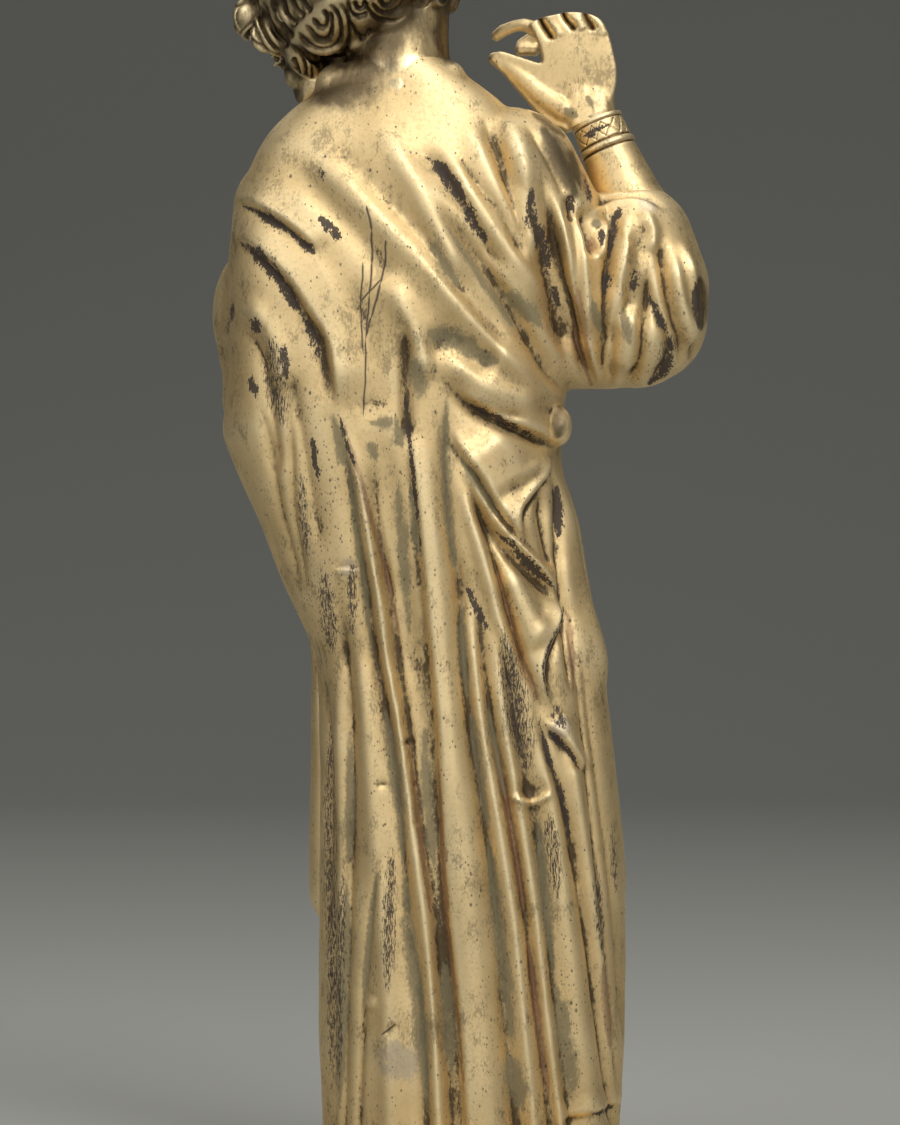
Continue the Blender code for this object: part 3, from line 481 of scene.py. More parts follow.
LONG_FOLDS = (
    ("valley", 5, 8, (257, 392), (268, 450), (280, 517), (300, 600)),
    ("valley", 4, 7, (287, 392), (290, 450), (293, 517), (306, 600)),
    ("valley", 4, 7, (367, 445), (374, 480), (380, 540), (394, 610)),
    ("valley", 7, 10, (262, 500), (275, 560), (290, 610), (310, 660), (322, 720), (327, 800),
     (330, 900), (330, 1190)),
    ("valley", 3, 8, (306, 630), (315, 690), (322, 760), (323, 900), (320, 970)),
    ("ridge", 6, 5, (336, 660), (338, 760), (338, 880), (336, 1000), (332, 1190)),
    ("valley", 6, 9, (334, 570), (344, 660), (349, 728), (350, 800), (348, 880), (345, 960),
     (342, 1040), (338, 1190)),
    ("swell", 10, 6, (356, 600), (368, 740), (376, 850), (386, 960), (392, 1190)),
    ("valley", 4, 6, (381, 844), (374, 900), (367, 960), (361, 1040), (356, 1190)),
    ("valley", 8, 11, (334, 392), (350, 473), (356, 520), (366, 602), (374, 660), (388, 728),
     (400, 813), (409, 927), (423, 1040), (430, 1190)),
    ("ridge", 6, 11, (330, 384), (346, 434), (357, 473), (366, 520), (380, 602), (388, 660), (400, 728),
     (411, 813), (426, 927), (435, 1040), (442, 1190)),
    ("valley", 2.6, 6, (340, 405), (362, 478), (374, 530), (388, 602), (396, 660), (408, 728),
     (417, 813), (433, 927)),
    ("swell", 13, -8, (372, 400), (392, 500), (404, 602), (412, 660), (422, 728), (430, 813),
     (441, 927), (456, 1190)),
    ("lap", 5, 8, (402, 372), (409, 438), (416, 497), (421, 550), (426, 602), (431, 660), (437, 728),
     (441, 813), (449, 927), (460, 1040), (470, 1190)),
    ("valley", 2.6, 5, (378, 500), (392, 610), (404, 700), (420, 813), (436, 927), (447, 1040),
     (458, 1190)),
    ("swell", 15, 8, (424, 430), (434, 520), (441, 602), (450, 700), (461, 813), (471, 927),
     (482, 1040), (496, 1190)),
    ("valley", 8, 13, (448, 380), (445, 450), (447, 500), (452, 545), (459, 580), (463, 640),
     (471, 728), (483, 813), (498, 927), (508, 1040), (524, 1190)),
    ("ridge", 6, 8, (463, 580), (471, 640), (482, 728), (496, 813), (514, 927), (525, 1040), (540, 1190)),
    ("valley", 4, 9, (464, 566), (477, 610), (484, 670), (491, 728), (508, 813), (526, 927),
     (540, 1040), (560, 1190)),
    ("valley", 2.6, 5, (482, 640), (495, 728), (515, 830), (532, 940), (546, 1050), (564, 1190)),
    ("ridge", 6, 7, (489, 600), (499, 660), (506, 728), (521, 813), (538, 927), (550, 1040), (568, 1190)),
    ("valley", 9, 9, (492, 600), (504, 660), (514, 716), (526, 776), (538, 830), (547, 927),
     (560, 1040), (582, 1190)),
    ("swell", 11, 7, (530, 690), (546, 760), (557, 830), (568, 927), (583, 1040), (602, 1190)),
    ("valley", 5, 12, (530, 690), (548, 756), (562, 799), (573, 850), (587, 927), (603, 1040),
     (622, 1160)),
    ("ridge", 6, 6, (560, 690), (578, 800), (594, 900), (608, 1000), (620, 1120)),
    ("valley", 4, 9, (567, 566), (576, 640), (584, 718), (592, 800), (602, 900), (612, 1000),
     (622, 1120)),
    ("valley", 4, 8, (576, 596), (591, 707), (601, 785), (612, 870), (621, 955), (629, 1080)),
    ("lap", 5, 6, (560, 1122), (589, 1115), (601, 1113), (630, 1113)),
)
SHOULDER_WIDER, SHOULDER_DEPTH, LONG_DEPTH = 1.2, 0.8, 0.72


def reworked(rows, wider, deeper):
    return tuple((kind, width * wider, depth * deeper, *points) for kind, width, depth, *points in rows)


BACK_FOLDS = SLEEVE_FOLDS + FLAP_FOLDS
BACK_FOLDS += reworked(SHOULDER_FOLDS, SHOULDER_WIDER, SHOULDER_DEPTH) + reworked(LONG_FOLDS, 1.0, LONG_DEPTH)
print(len(BACK_FOLDS), "folds on the back")


# %% [markdown]
# ## The folds of the front
# The photograph doesn't show the front, so it is plainer and follows a rule. Swags hang between the arms
# like chains, long folds fall from the waist, and the robe below the mantle's hem has even pleats.


# %% Folds of the front
def front_folds():
    folds = []
    for number in range(6):
        share = number / 5
        top, drop = 990 - 200 * share, 62 + 95 * share
        left, right = -165 - 50 * share, 50 + 60 * share
        line = []
        for step in range(9):
            way = step / 4 - 1
            across = (left + right) / 2 + (right - left) / 2 * way
            line.append((across, top - 30 * share * (1 - way) / 2 - drop * (1 - abs(way) ** 2.2)))
        folds.append(("valley", 7, 9, *line))
        folds.append(("ridge", 8, 5, *((x, z - 18) for x, z in line)))
    folds.append(("lap", 7, 7, (-146, 1046), (-122, 1000), (-78, 972), (-34, 1000), (-8, 1046)))
    for number in range(7):
        share = number / 6
        top, foot, start = -150 + 200 * share, -140 + 285 * share, 560 + 60 * math.sin(math.pi * share)
        middle = top * 0.6 + foot * 0.4
        folds.append(("valley", 9, 11, (top, start), (middle, 430), (foot, 240), (foot * 1.03, 190)))
        folds.append(("ridge", 9, 6, (top + 20, start - 20), (middle + 21, 420), (foot + 21, 200)))
    for number in range(9):
        place = -128 + 32 * number
        folds.append(("valley", 7, 9, (place * 0.96, 225), (place, 120), (place * 1.06, -120)))
        folds.append(("ridge", 7, 5, (place * 0.96 + 15, 225), (place + 15, 120), (place * 1.06 + 15, -120)))
    for number in range(3):
        shift = 17 * number
        line = (-196 + shift, 742), (-184 + shift * 0.8, 640), (-152 + shift * 0.4, 515)
        folds.append(("valley", 5, 7, *line))
    return folds


DEEPEST = 17
COLLAR = 1078
HEM_ON_SHEET = 1100


def carve(coords, normals, rows, side, drawn=False, deepening=1.0):
    """Moves the points along their normals by every fold of this side; drawn rows stand on the sheet."""
    flat = coords[:, (0, 2)]
    height = np.zeros(len(coords))
    for kind, width, depth, *points in rows:
        past_hem = drawn and points[-1][1] > HEM_ON_SHEET
        line = on_sheet(points) if drawn else points
        height += stroke(flat, kind, width, depth, line, 0.1 if past_hem else 0.2)
    height = DEEPEST * np.tanh(height * deepening / DEEPEST)
    height *= facing(normals, side) * np.clip((COLLAR - coords[:, 2]) / 20, 0, 1)
    print("deepest cut", round(float(height.min()) * PART * 1000, 2), "mm")
    return coords + normals * height[:, None]


coords, normals = surface(body)
coords = carve(coords, normals, BACK_FOLDS, -1, drawn=True, deepening=1.15)
coords = carve(coords, normals, front_folds(), 1)
reshape(body, relax_steps(body, coords, 4))

# %% [markdown]
# ## Small marks in the metal
# A ledge, a half-moon dent with a bright lip and a few small knocks are real dents in the thin metal, so
# they are cut in the mesh and not only in the finish. The cloth also swells and sinks a little
# everywhere.

# %% Dents and the hand-worked unevenness
DENTS = (
    ("lap", 4, 2.5, (362, 571), (347, 568), (332, 570)),
    ("swell", 8, -1.8, (510, 784), (530, 790), (550, 784)),
    ("ridge", 3, 3.4, (506, 792), (530, 803), (554, 792)),
    ("valley", 3, 2.2, (375, 786), (388, 784)),
    ("valley", 2.5, 1.8, (413, 785), (418, 785)),
    ("valley", 2.5, 1.6, (413, 822), (418, 823)),
    ("valley", 3, 2.5, (404, 740), (415, 744)),
    ("ridge", 5, 2.0, (362, 1000), (376, 1004)),
    ("valley", 4, 2.0, (384, 1036), (397, 1022)),
)


def unevenness(coords, size, amount, seed):
    """A slow sum of waves in changing directions, the same each run."""
    rng = np.random.default_rng(seed)
    total = np.zeros(len(coords))
    for _ in range(9):
        direction = rng.normal(size=3)
        direction /= np.linalg.norm(direction)
        total += np.sin(coords @ direction / size * rng.uniform(0.7, 1.6) + rng.uniform(0, 6.28))
    return amount * total / 3


coords, normals = surface(body)
coords = carve(coords, normals, DENTS, -1, drawn=True)
coords = coords + normals * (unevenness(coords, 14, 0.35, 4) + unevenness(coords, 34, 0.6, 5))[:, None]
reshape(body, coords)


def cut_flat(piece, point, normal):
    """Cuts the piece off flat at a plane and closes the cut."""
    bm = bmesh.new()
    bm.from_mesh(piece.data)
    cut = bmesh.ops.bisect_plane(
        bm, geom=bm.verts[:] + bm.edges[:] + bm.faces[:], plane_co=point, plane_no=normal, clear_outer=True
    )["geom_cut"]
    bmesh.ops.holes_fill(bm, edges=[item for item in cut if isinstance(item, bmesh.types.BMEdge)], sides=0)
    bm.to_mesh(piece.data)
    bm.free()


cut_flat(body, (0, 0, FOOT), (0, 0, -1))
thin_out(body, BODY_TRIANGLES)

# %% [markdown]
# ## The head
# The head leans to the figure's left, so its parts are laid out on its own upright axes and the whole is
# leaned at the end. The face is a plain ideal one on the old rule of thirds: brow, foot of the nose and
# chin divide it evenly, and the eyes sit half way down the whole head.

# %% The head's axes
HEAD_CENTRE = Vector((-135, 6, 1190))
HEAD_PLACE = (
    Matrix.Translation(HEAD_CENTRE) @ Matrix.Rotation(-math.radians(27.5), 4, "Y")
    @ Matrix.Rotation(-math.radians(5), 4, "X")
)
HAIR_HALF = (103, 98, 110)


def hair_point(azimuth, height, proud=0.0):
    level = max(0.0, 1 - abs(height / HAIR_HALF[2]) ** 3.2) ** (1 / 3.2)
    level = max(level, 0.55) if height < 0 else level
    x, y = math.sin(azimuth) * HAIR_HALF[0] * level, -math.cos(azimuth) * HAIR_HALF[1] * level
    return Vector((x, y, height)) + Vector((x, y, height * 0.4)).normalized() * proud


def on_drawn_nape(point):
    """The part of the hair that the drawing shows, which has locks of its own."""
    return point.y < 10 and point.z < 1148


def curl_places():
    """Rows of curls: azimuth from the back of the head, height and size, in the head's own parts."""
    rows = ((-88, 11, 23, 62), (-52, 13, 22, 56), (-14, 13, 21, 52), (24, 12, 20, 48), (58, 11, 19, 36),
            (84, 11, 15, 2))
    rng = np.random.default_rng(3)
    places = []
    for row, (height, count, size, opening) in enumerate(rows):
        for number in range(count):
            azimuth = -180 + opening + (360 - 2 * opening) * (number + 0.5 * (row % 2)) / (count - 0.5)
            azimuth, lift, grow = azimuth + rng.uniform(-4, 4), rng.uniform(-5, 5), rng.uniform(0.85, 1.15)
            inside = abs(azimuth) <= 180 - opening
            if inside and not on_drawn_nape(HEAD_PLACE @ hair_point(math.radians(azimuth), height + lift)):
                places.append((math.radians(azimuth), height + lift, size * grow))
    return places


NAPE_LOCKS = (
    (323, 26, 27, 17), (298, 62, 18, 14), (352, 30, 17, 13), (388, 4, 24, 15), (358, 8, 13, 11),
    (332, 68, 22, 14), (306, 76, 17, 12), (272, 22, 25, 15), (250, 6, 22, 14), (292, 6, 20, 14),
    (424, -4, 18, 13), (284, 44, 14, 12), (316, 72, 24, 20), (342, 62, 24, 16), (364, 50, 20, 14),
    (380, 34, 18, 12), (304, 84, 13, 14), (330, 76, 20, 16),
)
NEARER_HAIR = 0.983


def nape_point(across, down):
    """The place on the back of the hair behind a point of the drawing."""
    (x, z), = on_sheet([(across, down)], NEARER_HAIR)
    flat = HEAD_PLACE.inverted() @ Vector((x, HEAD_CENTRE.y, z))
    level = max(0.0, 1 - (flat.x / HAIR_HALF[0]) ** 2 - (flat.z / HAIR_HALF[2]) ** 2)
    return Vector((x, HEAD_CENTRE.y - HAIR_HALF[1] * math.sqrt(level) + 14, z))


print(len(curl_places()), "curls and", len(NAPE_LOCKS), "drawn locks")


# %% [markdown]
# The skull, jaw, cheeks, nose and lips are eggs that the skin melts together. The curls are flat buttons
# on the mass of the hair, and the neck runs down into the collar of the mantle, where the body hides its
# end.


# %% The head's lump
def head_lump():
    bm = bmesh.new()

    def lump(centre, radii, turn=None):
        egg(bm, centre, radii, turn, HEAD_PLACE)

    lump((0, 0, 18), (80, 90, 90))
    lump((0, 26, -28), (58, 58, 64))
    lump((0, 50, -66), (34, 33, 32))
    lump((0, 66, -85), (17, 14, 13))
    for side in (-1, 1):
        lump((side * 32, 54, -24), (26, 25, 28))
        lump((side * 26, 50, -58), (24, 24, 24))
        lump((side * 27, 77, 5), (13.5, 9.5, 8.5))
        lump((side * 7.5, 92, -36), (6.5, 7, 5.5))
        lump((side * 27, 79, 25), (22, 8, 6), Matrix.Rotation(side * 0.05, 4, "Y"))
        lump((side * (HAIR_HALF[0] - 27), 14, -52), (22, 44, 54))
    nose = (0, 80, 26, 6), (0, 84, 10, 5.6), (0, 91, -10, 6.2), (0, 97, -27, 7.2), (0, 97, -35, 7.6)
    limb(bm, nose, place=HEAD_PLACE)
    lump((0, 90.5, -54.5), (19, 8, 4.6))
    lump((0, 88.5, -63.5), (15, 8, 5.2))
    lump((0, -6, 22), (HAIR_HALF[0] - 7, HAIR_HALF[1] - 8, HAIR_HALF[2] - 20))
    lump((0, -16, -28), (HAIR_HALF[0] - 9, HAIR_HALF[1] - 20, 70))
    lump((0, -20, -62), (HAIR_HALF[0] - 18, HAIR_HALF[1] - 26, 42))
    for azimuth, height, size in curl_places():
        point = hair_point(azimuth, height, -9)
        turn = Vector((point.x, point.y, point.z * 0.4)).to_track_quat("Z", "Y").to_matrix().to_4x4()
        lump(point, (size, size, size * 0.62), turn)
    for across, down, size, proud in NAPE_LOCKS:
        egg(bm, nape_point(across, down), (size, proud, size))
    neck = (-71, 2, 1034, 63), (-71, 1, 1056, 57), (-71, 0, 1076, 51.5), (-70, 0, 1100, 49), (-74, 2, 1150, 55)
    limb(bm, neck)
    return bm


head = relax(reskin(relax(reskin(piece_from(head_lump(), "head_and_hair"), 2.0), 9), 1.3), 4)
print("head skin", len(head.data.vertices), "points")


# %% [markdown]
# ## Hair and features
# Each curl is wound like a small snail: the groove's depth follows the turn angle and the radius
# together. The locks of the crown run down in wavy strands. The eyelids, the parting of the lips and the
# nostrils are strokes on the plane of the face.


# %% Winding the curls and cutting the face
def head_axes(coords):
    back = np.array(HEAD_PLACE.inverted())
    return coords @ back[:3, :3].T + back[:3, 3]


NAPE_GROOVES = (
    (2.2, (312, 17), (319, 27), (326, 27), (327, 18), (322, 10)),
    (2.2, (304, 22), (313, 34), (323, 39), (331, 34), (332, 21), (329, 11)),
    (2.4, (296, 27), (307, 42), (323, 48), (338, 42), (342, 30), (337, 14), (328, 5)),
    (2.4, (288, 36), (304, 52), (324, 57), (342, 51), (350, 36), (348, 16), (338, 3)),
    (2.0, (290, 50), (294, 60), (296, 68)),
    (2.0, (297, 47), (303, 58), (303, 68), (296, 74), (289, 70), (284, 58)),
    (2.2, (280, 48), (282, 64), (290, 77), (302, 78), (311, 68), (311, 56)),
    (2.0, (300, -6), (306, 7), (312, 12)), (2.0, (290, -6), (296, 9), (305, 17)),
    (2.0, (280, -6), (286, 12), (297, 24)), (2.2, (270, -6), (276, 14), (286, 28), (293, 35)),
    (2.2, (260, -6), (267, 17), (277, 32), (287, 42)), (2.2, (251, -6), (259, 19), (268, 36), (280, 48)),
    (2.2, (242, -4), (252, 24), (262, 42), (277, 57)), (2.0, (379, -2), (384, 6), (391, 6), (396, -2)),
    (2.0, (371, 2), (379, 12), (391, 13), (402, 6), (406, -6)),
    (2.2, (363, -4), (368, 10), (378, 19), (393, 20), (408, 12), (415, -4)),
    (2.0, (354, 2), (358, 10), (364, 10), (366, 3)), (2.0, (348, 0), (351, 14), (360, 18), (370, 14)),
    (2.2, (350, 22), (357, 33), (366, 35), (372, 26)), (2.0, (412, 8), (424, 4), (438, -6)),
    (2.0, (318, 66), (330, 71), (346, 64)), (2.0, (345, 62), (356, 58), (367, 49)),
    (2.0, (352, 68), (364, 62), (375, 53)), (2.2, (296, 86), (316, 86), (336, 79)),
    (2.0, (376, 30), (386, 26), (398, 24)), (2.0, (374, 38), (384, 38), (392, 32)),
)


def nape_height(coords):
    """Grooves between the drawn locks, cut straight into the back of the hair."""
    flat = coords[:, (0, 2)]
    height = np.zeros(len(coords))
    for width, *points in NAPE_GROOVES:
        height += stroke(flat, "valley", width, 5.2, on_sheet(points, NEARER_HAIR), fade=0.14)
    return np.maximum(height, -7.0) * (coords[:, 1] < 0)


def under_hair(local):
    """Where hair covers the head: behind the line of the face and above the nape."""
    return np.clip(1 - (local[:, 1] - 58) / 14, 0, 1) * np.clip((local[:, 2] + 104) / 10, 0, 1)


def hair_height(local, drawn):
    height = np.zeros(len(local))
    in_curl = np.zeros(len(local))
    for number, (azimuth, level, size) in enumerate(curl_places()):
        centre = np.array(hair_point(azimuth, level))
        out = np.array((centre[0], centre[1], centre[2] * 0.4))
        out /= np.linalg.norm(out)
        side = np.cross((0, 0, 1.0), out)
        side /= np.linalg.norm(side)
        rise = np.cross(out, side)
        offset = local - centre
        u, v = offset @ side * (1 if number % 2 else -1), offset @ rise
        radius = np.hypot(u, v)
        near = np.clip(1.25 - radius / size, 0, 0.25) * 4 * (np.abs(offset @ out) < 32)
        wound = radius / 8.2 - np.arctan2(u, v) / (2 * math.pi)
        height += near * (2.4 * np.cos(2 * math.pi * wound) - 3.2 * np.exp(-((radius / 3.4) ** 2)))
        in_curl = np.maximum(in_curl, near)
    spin = np.arctan2(local[:, 0], -local[:, 1])
    high = np.clip((local[:, 2] + 60) / 40, 0, 1)
    strands = np.cos(34 * spin + 1.8 * np.sin(local[:, 2] / 13))
    strands += 0.6 * np.cos(71 * spin + 2.4 * np.sin(local[:, 2] / 9))
    height += 1.25 * strands * under_hair(local) * (1 - in_curl) * (0.4 + 0.6 * high) * (1 - 0.85 * drawn)
    return height * (1 - 0.9 * drawn * (1 - in_curl))


FACE_STROKES = (
    ("valley", 3.2, 2.6, (-41, 4), (-33, 0), (-24, -2), (-15, 2)),
    ("valley", 3.0, 2.4, (-42, 5), (-34, 13), (-24, 15), (-14, 6)),
    ("valley", 2.2, 2.6, (-17, -55), (-8, -58), (0, -57), (8, -58), (17, -55)),
    ("valley", 3.0, 1.5, (0, -41), (0, -49)),
    ("valley", 2.4, 2.6, (-6.5, -42), (-3, -43)),
    ("valley", 4.0, 2.0, (-12, -71), (0, -74), (12, -71)),
    ("valley", 3.0, 1.4, (-16, -32), (-22, -42), (-25, -52)),
    ("ridge", 3.4, 1.7, (-44, 21), (-33, 28), (-18, 28), (-7, 20)),
    ("swell", 6.5, -3.2, (-40, 13), (-28, 18), (-14, 13), (-11, 2)),
    ("swell", 5.0, -1.6, (-38, -12), (-26, -14), (-14, -9)),
)


def face_height(local):
    flat = np.column_stack([-np.abs(local[:, 0]), local[:, 2]])
    height = np.zeros(len(local))
    for kind, width, depth, *points in FACE_STROKES:
        height += stroke(flat, kind, width, depth, points, fade=0.3)
    return height * np.clip((local[:, 1] - 58) / 10, 0, 1)


def on_bare_neck(coords):
    """The skin of the neck, which widens a little to its foot and carries no hair."""
    reach = 52 + 0.55 * np.clip(1086 - coords[:, 2], 0, 30)
    round_neck = np.clip(1 - (np.hypot(coords[:, 0] + 71, coords[:, 1]) - reach) / 4, 0, 1)
    return round_neck * (coords[:, 0] > -124) * np.clip((1140 - coords[:, 2]) / 16, 0, 1)


coords, normals = surface(head)
local = head_axes(coords)
drawn = np.clip((1152 - coords[:, 2]) / 10, 0, 1) * (coords[:, 1] < 12)
above_collar = np.clip((coords[:, 2] - 1040) / 20, 0, 1)
not_neck = 1 - on_bare_neck(coords)
head_relief = (hair_height(local, drawn) * not_neck + face_height(local)) * above_collar
head_relief += nape_height(coords) * not_neck
reshape(head, coords + normals * head_relief[:, None])
thin_out(head, HEAD_TRIANGLES)

# %% [markdown]
# ## The bare forearm and the hollow cuff
# The forearm comes out of the sleeve and ends in a cuff with a chased band: two grooves, a raised ring
# and a row of crosses. It is a tube with a true wall, because the dark ring of the socket shows round the
# wrist. The circle is extruded up the outside, over the rim and down the inside.

# %% The forearm
CUFF_RIM = Vector((127.5, 30, 1022))
CUFF_AXIS = Vector((-0.37, 0.10, 0.925)).normalized()
CUFF_TURN = CUFF_AXIS.to_track_quat("Z", "Y").to_matrix().to_4x4()
CUFF_OUTER = 4.8e-3 / PART
SOCKET_INNER = 3.5e-3 / PART
SOCKET_DEEP = 5.5e-3 / PART


def cuff_profile():
    """(radius, distance below the rim) up the outside, over the rim and down the socket."""
    profile = []
    for step in range(160):
        below = 118 * (1 - step / 159)
        bare = np.interp(below, (0, 40, 84, 118), (CUFF_OUTER, 28.5, 34, 42))
        bare += 0.9 * (below < 3.0) + 1.5 * math.exp(-(((below - 29) / 2.6) ** 4))
        for place, depth, half in ((24.6, 1.7, 1.1), (33.4, 1.7, 1.1), (4.6, 0.9, 0.8)):
            bare -= depth * math.exp(-(((below - place) / half) ** 2))
        profile.append((bare, below))
    profile += [(CUFF_OUTER - 0.4, -0.5), (SOCKET_INNER + 1.2, -0.5), (SOCKET_INNER, 0.8)]
    profile += [(SOCKET_INNER, SOCKET_DEEP * share) for share in (0.3, 0.6, 0.9, 1.0)]
    return profile


def forearm_lump(segments=300):
    bm = bmesh.new()
    ring, edges, angles = first_ring(bm, segments)
    first = edges
    for number, (radius, below) in enumerate(cuff_profile()):
        if number:
            ring, edges = next_ring(bm, ring, edges)
        band = 6.5 < below < 22.5 and radius > SOCKET_INNER + 2
        for vert, angle in zip(ring, angles):
            cut = 0.0
            if band:
                turns = 13 * angle / (2 * math.pi) + 0.12 * math.sin(5 * angle)
                for slant in (-1, 1):
                    phase = (turns + slant * (below - 14.5) / 15 + 0.25) % 1.0
                    cut += 0.75 * math.exp(-(((phase - 0.5) / 0.075) ** 2))
            vert.co = (math.cos(angle) * (radius - cut), math.sin(angle) * (radius - cut), -below)
    bmesh.ops.contextual_create(bm, geom=first)
    bmesh.ops.contextual_create(bm, geom=edges)
    bmesh.ops.transform(bm, matrix=Matrix.Translation(CUFF_RIM) @ CUFF_TURN, verts=bm.verts)
    bmesh.ops.recalc_face_normals(bm, faces=bm.faces)
    return bm


forearm = piece_from(forearm_lump(), "bare_forearm")
thin_out(forearm, FOREARM_TRIANGLES)


# %% [markdown]
# ## The raised hand
# The hand was made by itself and its wrist stands in the cuff. Its back and thumb are one broad flat
# plate, so an outline is filled and extruded to its thickness. The first finger and the folded ones are
# round lengths, and strokes cut the slits between the knuckles.


# %% The hand
HAND_OUTLINE = (
    (490, 52), (494, 48), (500, 46), (507, 48), (514, 54), (526, 64), (538, 74), (542, 75), (543, 68),
    (543, 56), (540, 42), (535, 29), (531, 20), (540, 14), (552, 11), (571, 8), (590, 10), (602, 16),
    (609, 28), (614, 45), (618, 66), (617, 84), (611, 102), (602, 118), (594, 138), (578, 140),
    (567, 128), (554, 122), (540, 111), (523, 92), (507, 73), (494, 59),
)
SLAB_BACK, SLAB_THICK = 26, 17


def hand_lump():
    bm = bmesh.new()
    closed = [*HAND_OUTLINE, HAND_OUTLINE[0]]
    path = smooth_path(on_sheet(closed, 1.0), spacing=2.0)[:-1]
    ring = bmesh.ops.create_circle(bm, segments=len(path), radius=1.0)["verts"]
    for vert, (x, z) in zip(ring, path):
        vert.co = (x, SLAB_BACK + 0.16 * max(0.0, 100 - x), z)
    face = bmesh.ops.contextual_create(bm, geom=ring)["faces"]
    thick = bmesh.ops.extrude_face_region(bm, geom=face)["geom"]
    raised = [item for item in thick if isinstance(item, bmesh.types.BMVert)]
    bmesh.ops.translate(bm, vec=(0, SLAB_THICK, 0), verts=raised)
    bmesh.ops.recalc_face_normals(bm, faces=bm.faces)
    thumb = (25, 46, 1087, 6.8), (41, 44, 1077, 9.8), (58, 41, 1062, 12), (75, 38.5, 1046, 13), (96, 36, 1032, 14)
    limb(bm, thumb)
    for top, foot, thick in ((104, 112, 14), (114, 120, 16), (124, 127, 17), (132, 132, 16), (137, 136, 12)):
        middle = foot * 0.6 + top * 0.4
        limb(bm, ((foot, 32, 1016, thick), (middle, 34, 1036, thick * 0.82), (top, 37, 1062, 8)))
    finger = (66, 42, 1116, 8.5), (56, 44, 1121, 6.6), (45, 48, 1120, 6.2), (34, 53, 1116, 6.6), (27, 56, 1111, 6.0)
    limb(bm, finger)
    for x, z, tip in ((97, 1122, 54), (115, 1121, 60), (131, 1115, 68)):
        knuckle = (x, 36, z - 4, 8.5), (x - 6, 54, z, 8.5), (0.5 * x + 0.5 * tip, 74, z - 4, 8)
        limb(bm, (*knuckle, (tip, 78, 1104, 7.5), (tip - 2, 70, 1098, 6.5)))
    return bm


HAND_STROKES = (
    ("valley", 2.6, 12, (538, 6), (543, 18), (549, 28), (555, 37)),
    ("valley", 2.0, 12, (562, 4), (567, 15), (572, 21), (577, 28)),
    ("valley", 2.0, 12, (584, 4), (588, 15), (592, 21), (596, 28)),
    ("swell", 30, 3.0, (580, 10), (582, 60), (590, 124), (600, 170)),
    ("swell", 4.0, 1.4, (549, 16), (556, 24), (560, 34)),
    ("swell", 4.0, 1.4, (572, 12), (580, 18), (584, 28)),
    ("swell", 4.0, 1.2, (594, 14), (602, 22), (606, 34)),
)
hand = relax(reskin(relax(reskin(piece_from(hand_lump(), "raised_right_hand"), 1.5), 12), 0.9), 4)
coords, normals = surface(hand)
height = sum(stroke(coords[:, (0, 2)], *row[:3], on_sheet(row[3:], 1.0), fade=0.2) for row in HAND_STROKES)
reshape(hand, coords + np.array((0, -1, 0)) * (height * facing(normals, -1))[:, None])
RIM_PLACE = in_metres(CUFF_RIM)
cut_flat(hand, RIM_PLACE + CUFF_AXIS * 0.0003, -CUFF_AXIS)
thin_out(hand, HAND_TRIANGLES)

# %% [markdown]
# The wrist's peg goes down into the socket with 0.3 mm of room all round. It is a plain cylinder that
# overlaps the palm, joined to the hand as one object.

# %% The wrist's peg
bm = bmesh.new()
bm.from_mesh(hand.data)
bmesh.ops.create_cone(
    bm, cap_ends=True, segments=96, radius1=3.2e-3, radius2=3.2e-3, depth=6.2e-3,
    matrix=Matrix.Translation(RIM_PLACE + CUFF_AXIS * -0.0021) @ CUFF_TURN,
)
bm.to_mesh(hand.data)
bm.free()
print("hand", len(hand.data.polygons), "faces")

# %% [markdown]
# ## Where the gilding is worn, where grime lies and where shade is painted
# Gilding wears through on proud places and in the cuts where a tool or a rag rubbed, and grime settles
# where no rag reaches. Dark bands along the sides of the folds are painted shade as well as grime, and
# the shaded strokes paint shade where the cloth turns away. All are painted as soft strokes into point
# attributes, and the shader breaks their edges up later. The hollows found while carving are kept too,
# as a guide for the thin brown film and the painted shade in every fold.

# %% Painted strokes
WORN = (
    (6, (418, 149), (432, 160), (446, 174), (461, 199), (476, 224), (490, 250)),
    (3, (440, 170), (456, 186), (468, 200)), (6, (534, 182), (531, 209), (543, 245), (552, 283)),
    (3, (552, 280), (560, 306)),
    (6, (231, 235), (247, 245), (263, 258), (280, 280), (292, 300), (304, 318)),
    (5, (300, 312), (313, 335), (319, 355), (325, 382)),
    (3.5, (236, 199), (263, 214), (291, 233), (318, 255)), (4, (292, 234), (316, 254)),
    (7, (246, 315), (261, 331)), (4, (316, 217), (330, 226), (344, 244)), (4, (320, 166), (325, 182)),
    (4, (279, 338), (285, 365), (288, 386)), (3, (248, 370), (257, 402)),
    (3, (617, 207), (613, 233), (610, 257)), (4, (608, 268), (606, 292)), (6, (638, 262), (635, 292)),
    (5, (617, 206), (625, 212)), (5, (571, 190), (573, 212)), (3, (603, 224), (604, 245)),
    (4, (650, 288), (661, 315), (672, 334)), (4.5, (672, 332), (672, 358), (650, 384)),
    (3.5, (698, 275), (702, 330)), (4, (464, 582), (478, 610), (490, 637)),
    (4, (496, 530), (523, 557), (547, 580), (560, 596)), (5, (557, 478), (560, 545)),
    (2.6, (463, 401), (487, 413), (525, 431), (547, 440)),
    (2.2, (563, 600), (563, 618), (551, 644), (544, 667), (549, 702)),
    (3, (545, 727), (556, 738), (566, 749), (578, 764)),
    (2.4, (536, 708), (548, 756), (562, 799), (573, 860)),
    (2, (404, 380), (409, 438), (416, 497), (423, 567)), (3, (310, 430), (318, 480)),
    (1.6, (590, 128), (600, 124)), (2, (337, 405), (346, 440), (356, 470)), (2, (583, 128), (616, 113)),
    (3, (588, 170), (592, 200)), (2.5, (587, 1117), (618, 1114)), (3, (232, 300), (224, 330)),
)
